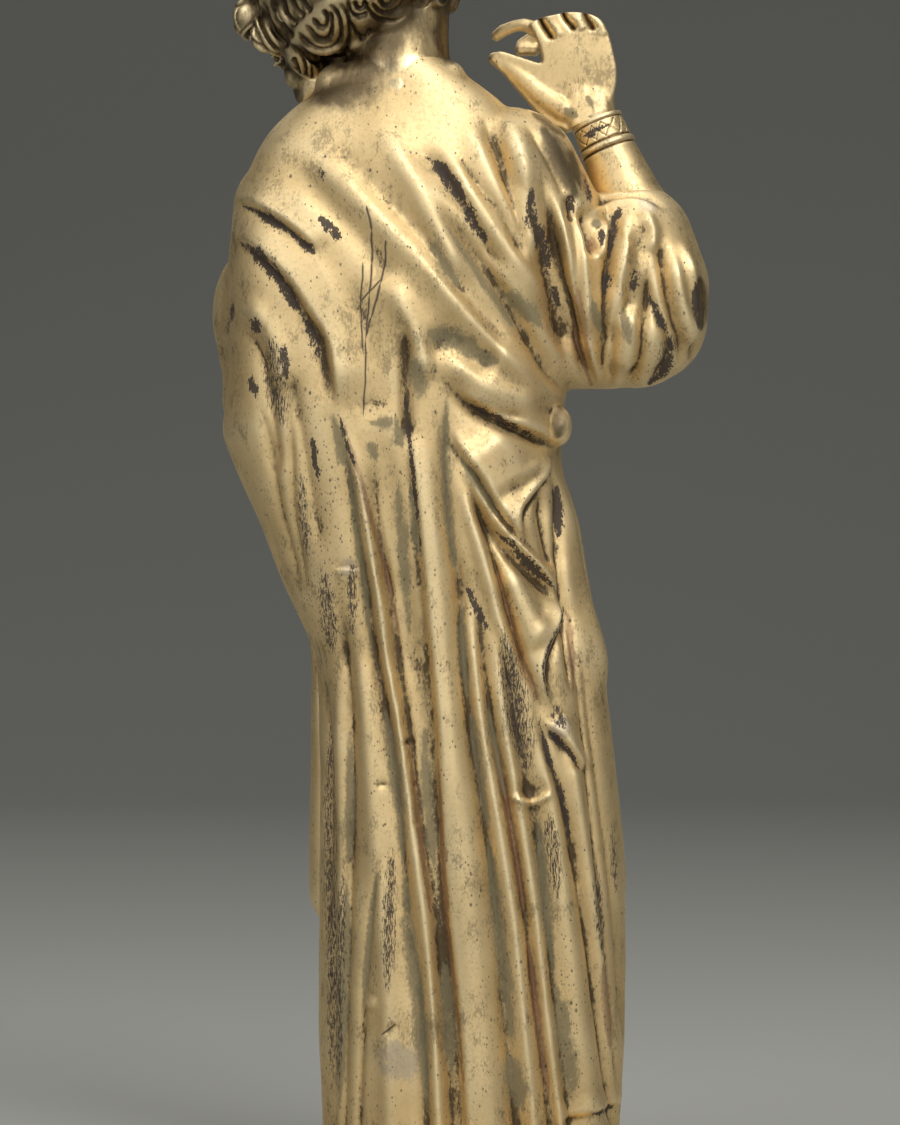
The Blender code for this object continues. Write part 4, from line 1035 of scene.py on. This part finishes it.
STREAKED = (
    (13, (502, 622), (512, 680), (522, 735), (531, 782)), (7, (546, 802), (553, 850), (559, 905)),
    (7, (329, 690), (328, 830), (331, 960), (330, 1115)), (5, (343, 850), (339, 980), (337, 1110)),
    (7, (392, 840), (389, 920), (387, 1000)), (6, (352, 560), (352, 640)), (9, (322, 560), (332, 660)),
    (12, (268, 330), (282, 430)), (6, (300, 470), (306, 560)), (8, (676, 330), (664, 372)),
    (5, (596, 860), (603, 960)), (7, (552, 704), (566, 730)), (4, (614, 820), (618, 900)),
)
# Olive grime, and painted shade in dark bands along the sides of the folds.
GRIME_AND_SHADE = (
    (5, (336, 410), (350, 473), (356, 520), (366, 602), (374, 668)),
    (8, (382, 700), (391, 740), (400, 813), (404, 870)),
    (8.5, (403, 850), (409, 927), (418, 1000), (424, 1060), (428, 1125)),
    (7, (349, 728), (350, 800), (348, 870)), (6, (347, 860), (345, 960), (342, 1040), (338, 1125)),
    (5, (378, 860), (370, 935), (362, 1020)),
    (7, (447, 390), (445, 450), (447, 500), (452, 545), (459, 582)),
    (6, (462, 600), (464, 660), (468, 706)), (6, (470, 700), (483, 790), (490, 836)),
    (9, (488, 830), (498, 926), (508, 997), (515, 1060)), (14, (510, 1050), (522, 1110)),
    (7, (538, 812), (545, 898), (555, 983)), (10, (556, 980), (568, 1060), (574, 1104)),
    (5, (458, 452), (478, 486), (500, 520)), (14, (424, 332), (455, 342), (486, 356)),
    (9, (478, 350), (500, 364)), (10, (496, 288), (524, 306), (546, 330)),
    (5, (440, 218), (480, 276), (520, 336)), (10, (412, 352), (422, 402)), (8, (372, 424), (398, 420)),
    (8, (398, 424), (400, 452)), (7, (368, 440), (380, 462)), (6, (332, 412), (346, 470)),
    (6, (592, 296), (602, 330)), (6, (624, 302), (632, 346)), (6, (566, 96), (582, 106)),
    (4, (590, 82), (597, 98)), (6, (430, 240), (460, 290)), (5, (410, 480), (420, 560)),
    (7, (397, 470), (404, 560), (410, 640)), (7, (424, 720), (428, 800), (436, 880)),
    (8, (444, 950), (452, 1080)), (4, (486, 700), (505, 800)), (6, (596, 214), (600, 226)),
)
DULLED = (
    (19, (398, 1036), (399, 1082)), (7, (640, 194), (662, 206)), (8, (340, 575), (356, 560)),
    (9, (560, 716), (568, 738)),
)
COPPERY = (
    (2.4, (340, 410), (362, 484), (379, 548), (393, 602), (402, 660)),
    (2.4, (408, 728), (417, 813), (433, 927)),
    (2.2, (437, 728), (441, 813), (448, 927), (460, 1040), (466, 1110)),
    (3.4, (489, 728), (508, 813), (526, 927)), (3.4, (526, 927), (540, 1040), (551, 1111)),
    (2.4, (493, 555), (507, 605), (523, 660), (545, 714)), (2.6, (573, 306), (582, 349), (597, 389)),
    (5, (593, 232), (594, 250)), (3, (575, 275), (584, 322), (594, 366)), (3, (568, 600), (574, 700)),
    (3, (432, 20), (444, 50)), (3, (584, 160), (590, 196)), (4, (604, 960), (612, 1060)),
)
SHADED = (
    (17, (452, -60), (452, 10), (450, 40), (446, 68)), (22, (300, 96), (352, 82), (392, 24), (430, -20)),
    (9, (540, 116), (560, 156), (580, 200)), (8, (704, 268), (705, 330)), (9, (300, 90), (286, 80)),
    (7, (560, 400), (558, 440)), (5, (571, 140), (582, 190)), (5, (494, 64), (530, 104)),
    (5, (530, 104), (570, 132)),
)
PITTED = (
    (30, (318, 400), (326, 520), (336, 660)), (16, (556, 850), (566, 960), (580, 1080)),
    (12, (268, 220), (300, 240)), (14, (432, 410), (436, 520)), (12, (476, 960), (486, 1080)),
    (8, (512, 940), (520, 1000)), (14, (640, 230), (652, 250)), (10, (500, 260), (520, 290)),
    (10, (465, 820), (470, 900)), (12, (505, 590), (520, 640)), (10, (380, 740), (384, 790)),
)


def painted(coords, rows, slimmer=1.0):
    """How strongly each point lies in any of the strokes, fading softly to the sides and towards the ends."""
    flat = coords[:, (0, 2)]
    mask = np.zeros(len(coords))
    for width, *points in rows:
        inside, signed, share = along(flat, on_sheet(points), 2.6 * width)
        narrowed = 1.25 * slimmer * width * (0.25 + 0.75 * fading(share, 0.35))
        value = np.exp(-np.abs(signed / narrowed) ** 2.4) * fading(share, 0.12)
        mask[inside] = np.maximum(mask[inside], value)
    return mask


def keep(piece, name, values):
    layer = piece.data.attributes.new(name, "FLOAT", "POINT")
    layer.data.foreach_set("value", np.clip(values, 0, 1).astype(np.float32))


def hollows(piece, spread=24):
    """How far each point lies under its smoothed surroundings: the depth of folds and grooves."""
    coords, normals = surface(piece)
    return np.einsum("ij,ij->i", relax_steps(piece, coords, spread, 0.6) - coords, normals)


for piece, depth_scale in ((body, 2.4), (head, 1.4), (forearm, 0.6), (hand, 1.0)):
    coords, normals = surface(piece)
    seen, turned = facing(normals, -1), np.clip((0.5 - normals[:, 1]) / 0.4, 0, 1)
    depth = hollows(piece)
    for name, rows in (("worn", WORN), ("streaked", STREAKED), ("grime_and_shade", GRIME_AND_SHADE), ("dulled", DULLED),
                       ("coppery", COPPERY), ("pitted", PITTED), ("shaded", SHADED)):
        slimmer = {"grime_and_shade": 0.68, "streaked": 0.8}.get(name, 1.0)
        keep(piece, name, painted(coords, rows, slimmer) * (turned if name == "shaded" else seen))
    keep(piece, "hollow", depth / depth_scale)
    keep(piece, "proud", -depth / depth_scale)
    if piece is head:
        keep(piece, "skin", np.maximum(1 - under_hair(head_axes(coords)), on_bare_neck(coords)))
    print(piece.name, "hollow share", round(float((depth > 0.3 * depth_scale).mean()), 3))

# %% [markdown]
# ## Shader groups
# The same few effects are used by the robe, the hair and the base, so each is a node group with named
# sockets. A small helper makes a group's sockets and lets each node be placed in one line.


# %% Group helpers
def new_group(name, **given):
    """A group that gives one mask; a socket without a number is a vector."""
    group = bpy.data.node_groups.new(name, "ShaderNodeTree")
    for socket, value in given.items():
        kind = "NodeSocketVector" if value is None else "NodeSocketFloat"
        made = group.interface.new_socket(socket, in_out="INPUT", socket_type=kind)
        if value is not None:
            made.default_value = value
    group.interface.new_socket("Mask", in_out="OUTPUT", socket_type="NodeSocketFloat")
    return group, group.nodes.new("NodeGroupInput").outputs, group.nodes.new("NodeGroupOutput").inputs["Mask"]


def feed(tree, socket, value):
    """Links a socket to another one, or sets it to a plain value."""
    if isinstance(value, bpy.types.NodeSocket):
        tree.links.new(value, socket)
    else:
        socket.default_value = value


def add(tree, kind, inputs=None, **settings):
    node = tree.nodes.new(kind)
    for key, value in settings.items():
        setattr(node, key, value)
    for key, value in (inputs or {}).items():
        feed(tree, node.inputs[key], value)
    return node


def maths(tree, operation, first, second):
    return add(tree, "ShaderNodeMath", {0: first, 1: second}, operation=operation).outputs[0]


def vectors(tree, operation, *values):
    return add(tree, "ShaderNodeVectorMath", dict(enumerate(values)), operation=operation).outputs


def remapped(tree, value, low, high, to_low=0.0, to_high=1.0, kind="LINEAR"):
    ends = {"Value": value, "From Min": low, "From Max": high, "To Min": to_low, "To Max": to_high}
    return add(tree, "ShaderNodeMapRange", ends, interpolation_type=kind).outputs[0]


def object_place(tree, scale=None):
    """Object coordinates, stretched along the axes when a scale is given."""
    place = add(tree, "ShaderNodeTexCoord").outputs["Object"]
    if scale is None:
        return place
    return add(tree, "ShaderNodeMapping", {"Vector": place, "Scale": scale}).outputs[0]


def noise_at(tree, place, scale, detail, rough=0.5):
    inputs = {"Vector": place, "Scale": scale, "Detail": detail, "Roughness": rough}
    return add(tree, "ShaderNodeTexNoise", inputs).outputs["Fac"]


# %% [markdown]
# **Ragged edge.** A painted mask is soft. Real gilding breaks off in flakes, so noise is added to the
# mask before it is cut at a level, which leaves torn edges and islands whose size is set by the grain.

# %% Ragged edge group
sockets = {"Mask": 0.0, "Grain": 2200.0, "Raggedness": 0.5, "Level": 0.5, "Softness": 0.08}
ragged, given, result = new_group("ragged_edge", **sockets)
place = object_place(ragged, (1.3, 1.3, 0.7))
fine = noise_at(ragged, place, given["Grain"], 4.0, 0.65)
coarse = noise_at(ragged, place, maths(ragged, "MULTIPLY", given["Grain"], 0.17), 2.0)
both = maths(ragged, "ADD", maths(ragged, "MULTIPLY", fine, 2.4), maths(ragged, "MULTIPLY", coarse, 2.0))
swing = maths(ragged, "MULTIPLY", maths(ragged, "SUBTRACT", both, 2.2), given["Raggedness"])
total = maths(ragged, "ADD", given["Mask"], swing)
low = maths(ragged, "SUBTRACT", given["Level"], given["Softness"])
high = maths(ragged, "ADD", given["Level"], given["Softness"])
edge = remapped(ragged, total, low, high, kind="SMOOTHSTEP")
gate = remapped(ragged, given["Mask"], 0.0, 0.12)
ragged.links.new(maths(ragged, "MULTIPLY", edge, gate), result)
print("group", ragged.name)

# %% [markdown]
# **Pits.** Old gilding is full of pinholes where mercury left or copper corroded. Each cell of a Voronoi
# pattern holds one pit, and only some cells keep theirs. Slow noise gathers them in upright bands, as on
# the real cloth.

# %% Pits group
pits, given, result = new_group("pinholes", Scale=1500.0, Size=0.3, Share=0.1)
place = object_place(pits, (1.2, 1.2, 0.8))
cells = add(pits, "ShaderNodeTexVoronoi", {"Vector": place, "Scale": given["Scale"]}).outputs
pick = add(pits, "ShaderNodeSeparateColor", {"Color": cells["Color"]}).outputs
reach = maths(pits, "MULTIPLY", given["Size"], maths(pits, "ADD", pick[1], 0.4))
hole = remapped(pits, cells["Distance"], reach, 0.04, kind="SMOOTHSTEP")
cloud = noise_at(pits, object_place(pits, (3.0, 1.0, 0.35)), 90.0, 3.0)
gathered = maths(pits, "MULTIPLY", given["Share"], remapped(pits, cloud, 0.38, 0.62, 0.25, 1.8))
pits.links.new(maths(pits, "MULTIPLY", hole, maths(pits, "LESS_THAN", pick[0], gathered)), result)
print("group", pits.name)

# %% [markdown]
# **Streaks.** In the deepest upright folds the gold is scored away in thin lines that all run down the
# cloth. It is noise on coordinates that are squeezed along the height, cut at a level, and shown where
# the mask allows.

# %% Streaks group
streaks, given, result = new_group("upright_streaks", Mask=0.0, Scale=3900.0, Cover=0.5)
lines = noise_at(streaks, object_place(streaks, (1.0, 0.5, 0.17)), given["Scale"], 6.0, 0.8)
wanted = maths(streaks, "MULTIPLY", maths(streaks, "MULTIPLY", given["Mask"], given["Cover"]), 0.115)
cut = remapped(streaks, maths(streaks, "ADD", lines, wanted), 0.57, 0.62, kind="SMOOTHSTEP")
gate = remapped(streaks, given["Mask"], 0.05, 0.4)
streaks.links.new(maths(streaks, "MULTIPLY", cut, gate), result)
print("group", streaks.name)

# %% [markdown]
# **Incised line.** A scratch is thinner than the mesh can hold. Its mask is the distance from a point of
# the surface to a straight line between two places on the back, worked out with vector maths.

# %% Incised line group
DRIFT = 0.0006
incised, given, result = new_group("incised_line", From=None, To=None, Width=0.0002)
place = object_place(incised)
wander = add(incised, "ShaderNodeTexNoise", {"Vector": place, "Scale": 260.0, "Detail": 1.0}).outputs["Color"]
drift = vectors(incised, "MULTIPLY_ADD", wander, (DRIFT, 0.0, 0.0), place)[0]
flat = vectors(incised, "MULTIPLY", drift, (1.0, 0.0, 1.0))[0]
start = vectors(incised, "SUBTRACT", flat, given["From"])[0]
length = vectors(incised, "SUBTRACT", given["To"], given["From"])[0]
reach = vectors(incised, "DOT_PRODUCT", start, length)["Value"]
whole = vectors(incised, "DOT_PRODUCT", length, length)["Value"]
part = add(incised, "ShaderNodeMath", {0: reach, 1: whole}, operation="DIVIDE", use_clamp=True).outputs[0]
foot = add(incised, "ShaderNodeVectorMath", {0: length, "Scale": part}, operation="SCALE").outputs[0]
gap = vectors(incised, "DISTANCE", start, foot)["Value"]
taper = maths(incised, "MULTIPLY", part, maths(incised, "SUBTRACT", 1.0, part))
taper = maths(incised, "MULTIPLY", taper, 8.0)
narrow = maths(incised, "MULTIPLY", given["Width"], maths(incised, "MINIMUM", taper, 1.0))
line = remapped(incised, gap, narrow, 0.0, kind="SMOOTHSTEP")
normal = add(incised, "ShaderNodeNewGeometry").outputs["Normal"]
looks = add(incised, "ShaderNodeSeparateXYZ", {"Vector": normal}).outputs["Y"]
incised.links.new(maths(incised, "MULTIPLY", line, maths(incised, "LESS_THAN", looks, -0.2)), result)
print("group", incised.name)

# %% [markdown]
# ## The gilt copper
# Mercury gilding is a thin pale gold over copper: metallic all over, a little rough where it was never
# burnished. Over it lie a brown film with painted shade in the hollows, olive grime with painted shade
# along the sides of the folds, bare dark copper where the gold is gone, and reddish hints along the
# folds. A paler gold on the proud ridges is a painted highlight, and painted shade darkens the places
# where the cloth turns away. The hair and the base are the same metal with their own amounts.

# %% Colours and scratches
GOLD = (0.80, 0.605, 0.315, 1.0)
# Painted highlight: the paler gold laid on the proud ridges.
GOLD_PALE_HIGHLIGHT = (0.91, 0.76, 0.47, 1.0)
GOLD_DEEP = (0.59, 0.44, 0.22, 1.0)
COPPER_RED = (0.34, 0.19, 0.11, 1.0)
BARE_BROWN = (0.062, 0.045, 0.036, 1.0)
# Olive grime and painted shade in the dark bands along the folds.
OLIVE_GRIME_AND_SHADE = (0.225, 0.19, 0.105, 1.0)
# Brown film and painted shade in the hollows; also the colour of the cloudy film.
FILM_AND_SHADE_BROWN = (0.18, 0.135, 0.075, 1.0)
# Painted shade: dark brown in the deepest creases.
CREASE_SHADE_BROWN = (0.085, 0.058, 0.035, 1.0)
DULL_GREY = (0.50, 0.42, 0.31, 1.0)
HAIR_PATINA = (0.055, 0.039, 0.023, 1.0)
DEEP_SHADE = (0.09, 0.064, 0.038, 1.0)
SCRATCHES = (
    ((367, 206), (372, 232), 2.0), ((372, 230), (372, 265), 2.2), ((372, 262), (370, 296), 2.0),
    ((370, 294), (366, 340), 1.7), ((366, 338), (364, 418), 1.5), ((386, 241), (385, 265), 1.8),
    ((385, 262), (381, 284), 1.9), ((381, 282), (371, 320), 1.9), ((371, 318), (366, 337), 1.7),
    ((363, 262), (361, 304), 1.6), ((361, 300), (363, 355), 1.4), ((360, 303), (382, 279), 1.7),
    ((396, 1023), (381, 1035), 1.8),
)

# %% [markdown]
# The colour is built up in layers, each a mask, a strength and a tint, from the gold outwards to the bare
# spots that lie over everything. Some layers are painted light: a paler highlight on the ridges, and
# painted shade in the hollows, the creases, the fold bands and where the cloth turns away. Grime, film
# and their painted shade make the metal rougher, and pits and bare spots also sink a little.

# %% The metal
# hollow_darkening sets how strongly the brown film and painted shade darken the hollows.
def gilt_metal(name, hollow_darkening, patina, pit_share, roughness, scratches=()):
    material = bpy.data.materials.new(name)
    material.use_nodes = True
    tree = material.node_tree
    shader = tree.nodes["Principled BSDF"]
    place = object_place(tree)

    def attribute(key):
        return add(tree, "ShaderNodeAttribute", attribute_name=key).outputs["Fac"]

    def masked(group, **inputs):
        return add(tree, "ShaderNodeGroup", inputs, node_tree=group).outputs["Mask"]

    def torn(mask, grain, raggedness, level, softness):
        return masked(ragged, Mask=mask, Grain=grain, Raggedness=raggedness, Level=level, Softness=softness)

    def times(first, second):
        return maths(tree, "MULTIPLY", first, second)

    def either(first, second):
        return maths(tree, "MAXIMUM", first, second)

    def noise(scale, detail, rough=0.5):
        return noise_at(tree, place, scale, detail, rough)

    hollow, proud, grain = attribute("hollow"), attribute("proud"), noise(1500.0, 3.0, 0.6)
    cloudy = remapped(tree, noise(60.0, 3.0), 0.3, 0.7, 0.0, 0.6)
    # Brown film and painted shade, deepest in the hollows of the folds.
    hollow_film_and_shade = times(torn(hollow, 700.0, 0.6, 0.5, 0.45), 0.35 + 0.5 * hollow_darkening)
    # Olive grime and painted shade in bands along the sides of the folds.
    grime_and_shade_bands = torn(attribute("grime_and_shade"), 1700.0, 0.62, 0.46, 0.38)
    bare = torn(attribute("worn"), 2100.0, 1.05, 0.62, 0.06)
    scored = masked(streaks, Mask=attribute("streaked"), Cover=1.0)
    thick = maths(tree, "ADD", times(attribute("pitted"), 0.34), pit_share)
    fine_pits = masked(pits, Share=thick, Scale=1500.0, Size=0.36)
    wide_pits = masked(pits, Share=times(thick, 0.35), Scale=900.0, Size=0.34)
    dark = either(either(bare, scored), either(fine_pits, wide_pits))
    for start, end, width in scratches:
        ends = [(x * PART + DRIFT / 2, 0.0, z * PART + FOOT) for x, z in on_sheet((start, end))]
        dark = either(dark, masked(incised, From=ends[0], To=ends[1], Width=width * PART))

    layers = [
        (remapped(tree, noise(85.0, 4.0), 0.38, 0.66, 0.0, 0.7), 1.0, GOLD_DEEP),
        # Painted highlight: paler gold on the proud ridges.
        (proud, 0.7, GOLD_PALE_HIGHLIGHT),
        (remapped(tree, grain, 0.52, 0.72, 0.0, 0.35), 1.0, GOLD_DEEP),
        # Brown film and painted shade in the hollows.
        (hollow_film_and_shade, 1.0, FILM_AND_SHADE_BROWN),
        (torn(cloudy, 1900.0, 0.9, 0.72, 0.3), 0.55, FILM_AND_SHADE_BROWN),
        # Painted shade: dark brown in the deepest creases.
        (torn(hollow, 1500.0, 0.75, 0.66, 0.24), 0.85, CREASE_SHADE_BROWN),
        (torn(attribute("coppery"), 1400.0, 0.6, 0.5, 0.3), 0.6, COPPER_RED),
        (torn(attribute("dulled"), 1500.0, 0.8, 0.5, 0.3), 0.65, DULL_GREY),
        # Olive grime and painted shade in bands along the sides of the folds.
        (grime_and_shade_bands, 0.8, OLIVE_GRIME_AND_SHADE),
    ]
    if patina:
        in_hair = maths(tree, "SUBTRACT", 1.0, attribute("skin"))
        aged = times(remapped(tree, proud, 0.2, 0.85, 1.0, 0.3), in_hair)
        uneven = remapped(tree, noise(240.0, 3.0), 0.3, 0.6, 0.75, 1.0)
        layers.append((times(aged, uneven), patina, HAIR_PATINA))
    layers.append((torn(attribute("shaded"), 500.0, 0.5, 0.5, 0.45), 0.82, DEEP_SHADE))
    layers.append((dark, 0.95, BARE_BROWN))
    colour = GOLD
    for mask, strength, tint in layers:
        mix = {"Factor": times(mask, strength), 6: colour, 7: tint}
        colour = add(tree, "ShaderNodeMix", mix, data_type="RGBA").outputs[2]
    tree.links.new(colour, shader.inputs["Base Color"])

    # Where grime, film and their painted shade lie, the metal is rougher.
    dirt_and_shade = either(grime_and_shade_bands, times(hollow_film_and_shade, 0.7))
    rough = remapped(tree, grain, 0.3, 0.7, roughness - 0.06, roughness + 0.08)
    rough = maths(tree, "ADD", maths(tree, "ADD", rough, times(dirt_and_shade, 0.20)), times(dark, 0.12))
    tree.links.new(maths(tree, "MINIMUM", rough, 0.8), shader.inputs["Roughness"])
    metal = maths(tree, "SUBTRACT", 1.0, times(either(grime_and_shade_bands, dark), 0.5))
    tree.links.new(metal, shader.inputs["Metallic"])

    level = maths(tree, "ADD", times(noise(420.0, 3.0, 0.6), 0.20), times(grain, 0.16))
    level = maths(tree, "SUBTRACT", level, times(dark, 0.30))
    bump = add(tree, "ShaderNodeBump", {"Height": level, "Strength": 0.5, "Distance": 0.00022})
    tree.links.new(bump.outputs[0], shader.inputs["Normal"])
    return material


gilt_cloth = gilt_metal("gilt_copper_cloth", 0.35, 0.0, 0.13, 0.55, SCRATCHES)
gilt_hair = gilt_metal("gilt_copper_hair", 1.0, 0.95, 0.02, 0.38)
gilt_skin = gilt_metal("gilt_copper_skin", 0.45, 0.0, 0.03, 0.50)
gilt_base = gilt_metal("gilt_copper_base", 0.3, 0.0, 0.08, 0.40)
print(len(bpy.data.node_groups), "groups,", len(bpy.data.materials), "materials")

# %% [markdown]
# ## Every piece takes its finish, its solid and its body
# The three meshes of the one casting stand for the figure's solid, and the hand for its own. The base is
# plain enough to stay as the solid itself, so it only gets the better finish.

# %% Finishes and places
for piece, material, node in (
    (body, gilt_cloth, "figure"), (head, gilt_hair, "figure"), (forearm, gilt_skin, "figure"),
    (hand, gilt_skin, "raised_hand"),
):
    piece.data.materials.clear()
    piece.data.materials.append(material)
    piece.data.shade_smooth()
    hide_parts(node)
    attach(piece, "root")
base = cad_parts["base"]
for slot in base.material_slots:
    slot.material = gilt_base
print("pieces", [piece.name for piece in (body, head, forearm, hand)])

# %% [markdown]
# ## Studio
# A photographer puts a small bright figure on a pale sweep that fades to grey behind. One large light
# stands high on the right, a soft one high on the left and another overhead, and a broad weak fill hangs
# behind the camera. Metal shows what is round it, so the lights are large and the room is dim.

# %% Sweep, lights and camera
PALE_PAPER = (0.41, 0.408, 0.377, 1.0)
SWEEP_NEAR, SWEEP_FAR, SWEEP_TOP, SWEEP_BEND, SWEEP_WIDE = -1.2, 2.4, 2.2, 1.1, 5.0
flat_part = SWEEP_FAR - SWEEP_BEND - SWEEP_NEAR
arc = SWEEP_BEND * math.pi / 2
whole = flat_part + arc + SWEEP_TOP - SWEEP_BEND
bm = bmesh.new()
bmesh.ops.create_grid(bm, x_segments=1, y_segments=96, size=0.5)
for vert in bm.verts:
    run = (vert.co.y + 0.5) * whole
    if run < flat_part:
        y, z = SWEEP_NEAR + run, 0.0
    elif run < flat_part + arc:
        turn = (run - flat_part) / SWEEP_BEND
        y, z = SWEEP_FAR - SWEEP_BEND + SWEEP_BEND * math.sin(turn), SWEEP_BEND - SWEEP_BEND * math.cos(turn)
    else:
        y, z = SWEEP_FAR, SWEEP_BEND + run - flat_part - arc
    vert.co = (vert.co.x * SWEEP_WIDE, y, z)
mesh = bpy.data.meshes.new("sweep")
bm.to_mesh(mesh)
bm.free()
mesh.shade_smooth()
sweep = bpy.data.objects.new("sweep", mesh)
bpy.context.scene.collection.objects.link(sweep)
paper = bpy.data.materials.new("pale_paper")
paper.use_nodes = True
paper_shader = paper.node_tree.nodes["Principled BSDF"].inputs
paper_shader["Base Color"].default_value = PALE_PAPER
paper_shader["Roughness"].default_value = 0.9
mesh.materials.append(paper)


def soft_light(name, place, target, width, height, power):
    light = bpy.data.lights.new(name, "AREA")
    light.shape = "RECTANGLE"
    light.size, light.size_y, light.energy = width, height, power
    lamp = bpy.data.objects.new(name, light)
    lamp.location = place
    lamp.rotation_euler = (Vector(target) - Vector(place)).to_track_quat("-Z", "Y").to_euler()
    bpy.context.scene.collection.objects.link(lamp)


CHEST = (0.0, 0.0, 0.14)
soft_light("key_high_right", (0.34, -0.62, 0.80), CHEST, 0.42, 0.38, 4.4)
soft_light("fill_behind_camera", (-0.10, -1.45, 0.30), CHEST, 1.9, 1.2, 7.8)
soft_light("soft_high_left", (-0.55, -0.50, 0.75), CHEST, 0.42, 0.42, 1.9)
soft_light("strip_left", (-0.62, -0.30, 0.24), CHEST, 0.14, 0.45, 0.12)
soft_light("strip_right", (0.62, -0.10, 0.25), CHEST, 0.12, 0.45, 0.10)
soft_light("overhead", (0.04, -0.12, 0.95), CHEST, 0.75, 0.55, 2.9)
soft_light("front_key", (-0.5, 1.0, 1.3), CHEST, 0.7, 0.7, 2.4)
world = bpy.data.worlds.new("dim_room")
world.use_nodes = True
world.node_tree.nodes["Background"].inputs["Color"].default_value = (0.09, 0.09, 0.085, 1.0)
bpy.context.scene.world = world

camera_data = bpy.data.cameras.new("camera")
LENS, SENSOR = 135, 36
camera_data.lens = LENS
camera_data.sensor_width = SENSOR
camera = bpy.data.objects.new("camera", camera_data)
FRAME_HEIGHT = SHEET_HEIGHT * PART
DISTANCE = FRAME_HEIGHT / 2 / (SENSOR / 2 / LENS)
middle = in_metres((SHEET_MIDDLE[0], 0, SHEET_MIDDLE[1]))
camera.location = middle + Vector((0, -DISTANCE, 0))
camera.rotation_euler = (math.pi / 2, 0, 0)
bpy.context.scene.collection.objects.link(camera)
bpy.context.scene.camera = camera
bpy.context.scene.view_settings.view_transform = "Standard"
print("camera", round(DISTANCE, 3), "m away")
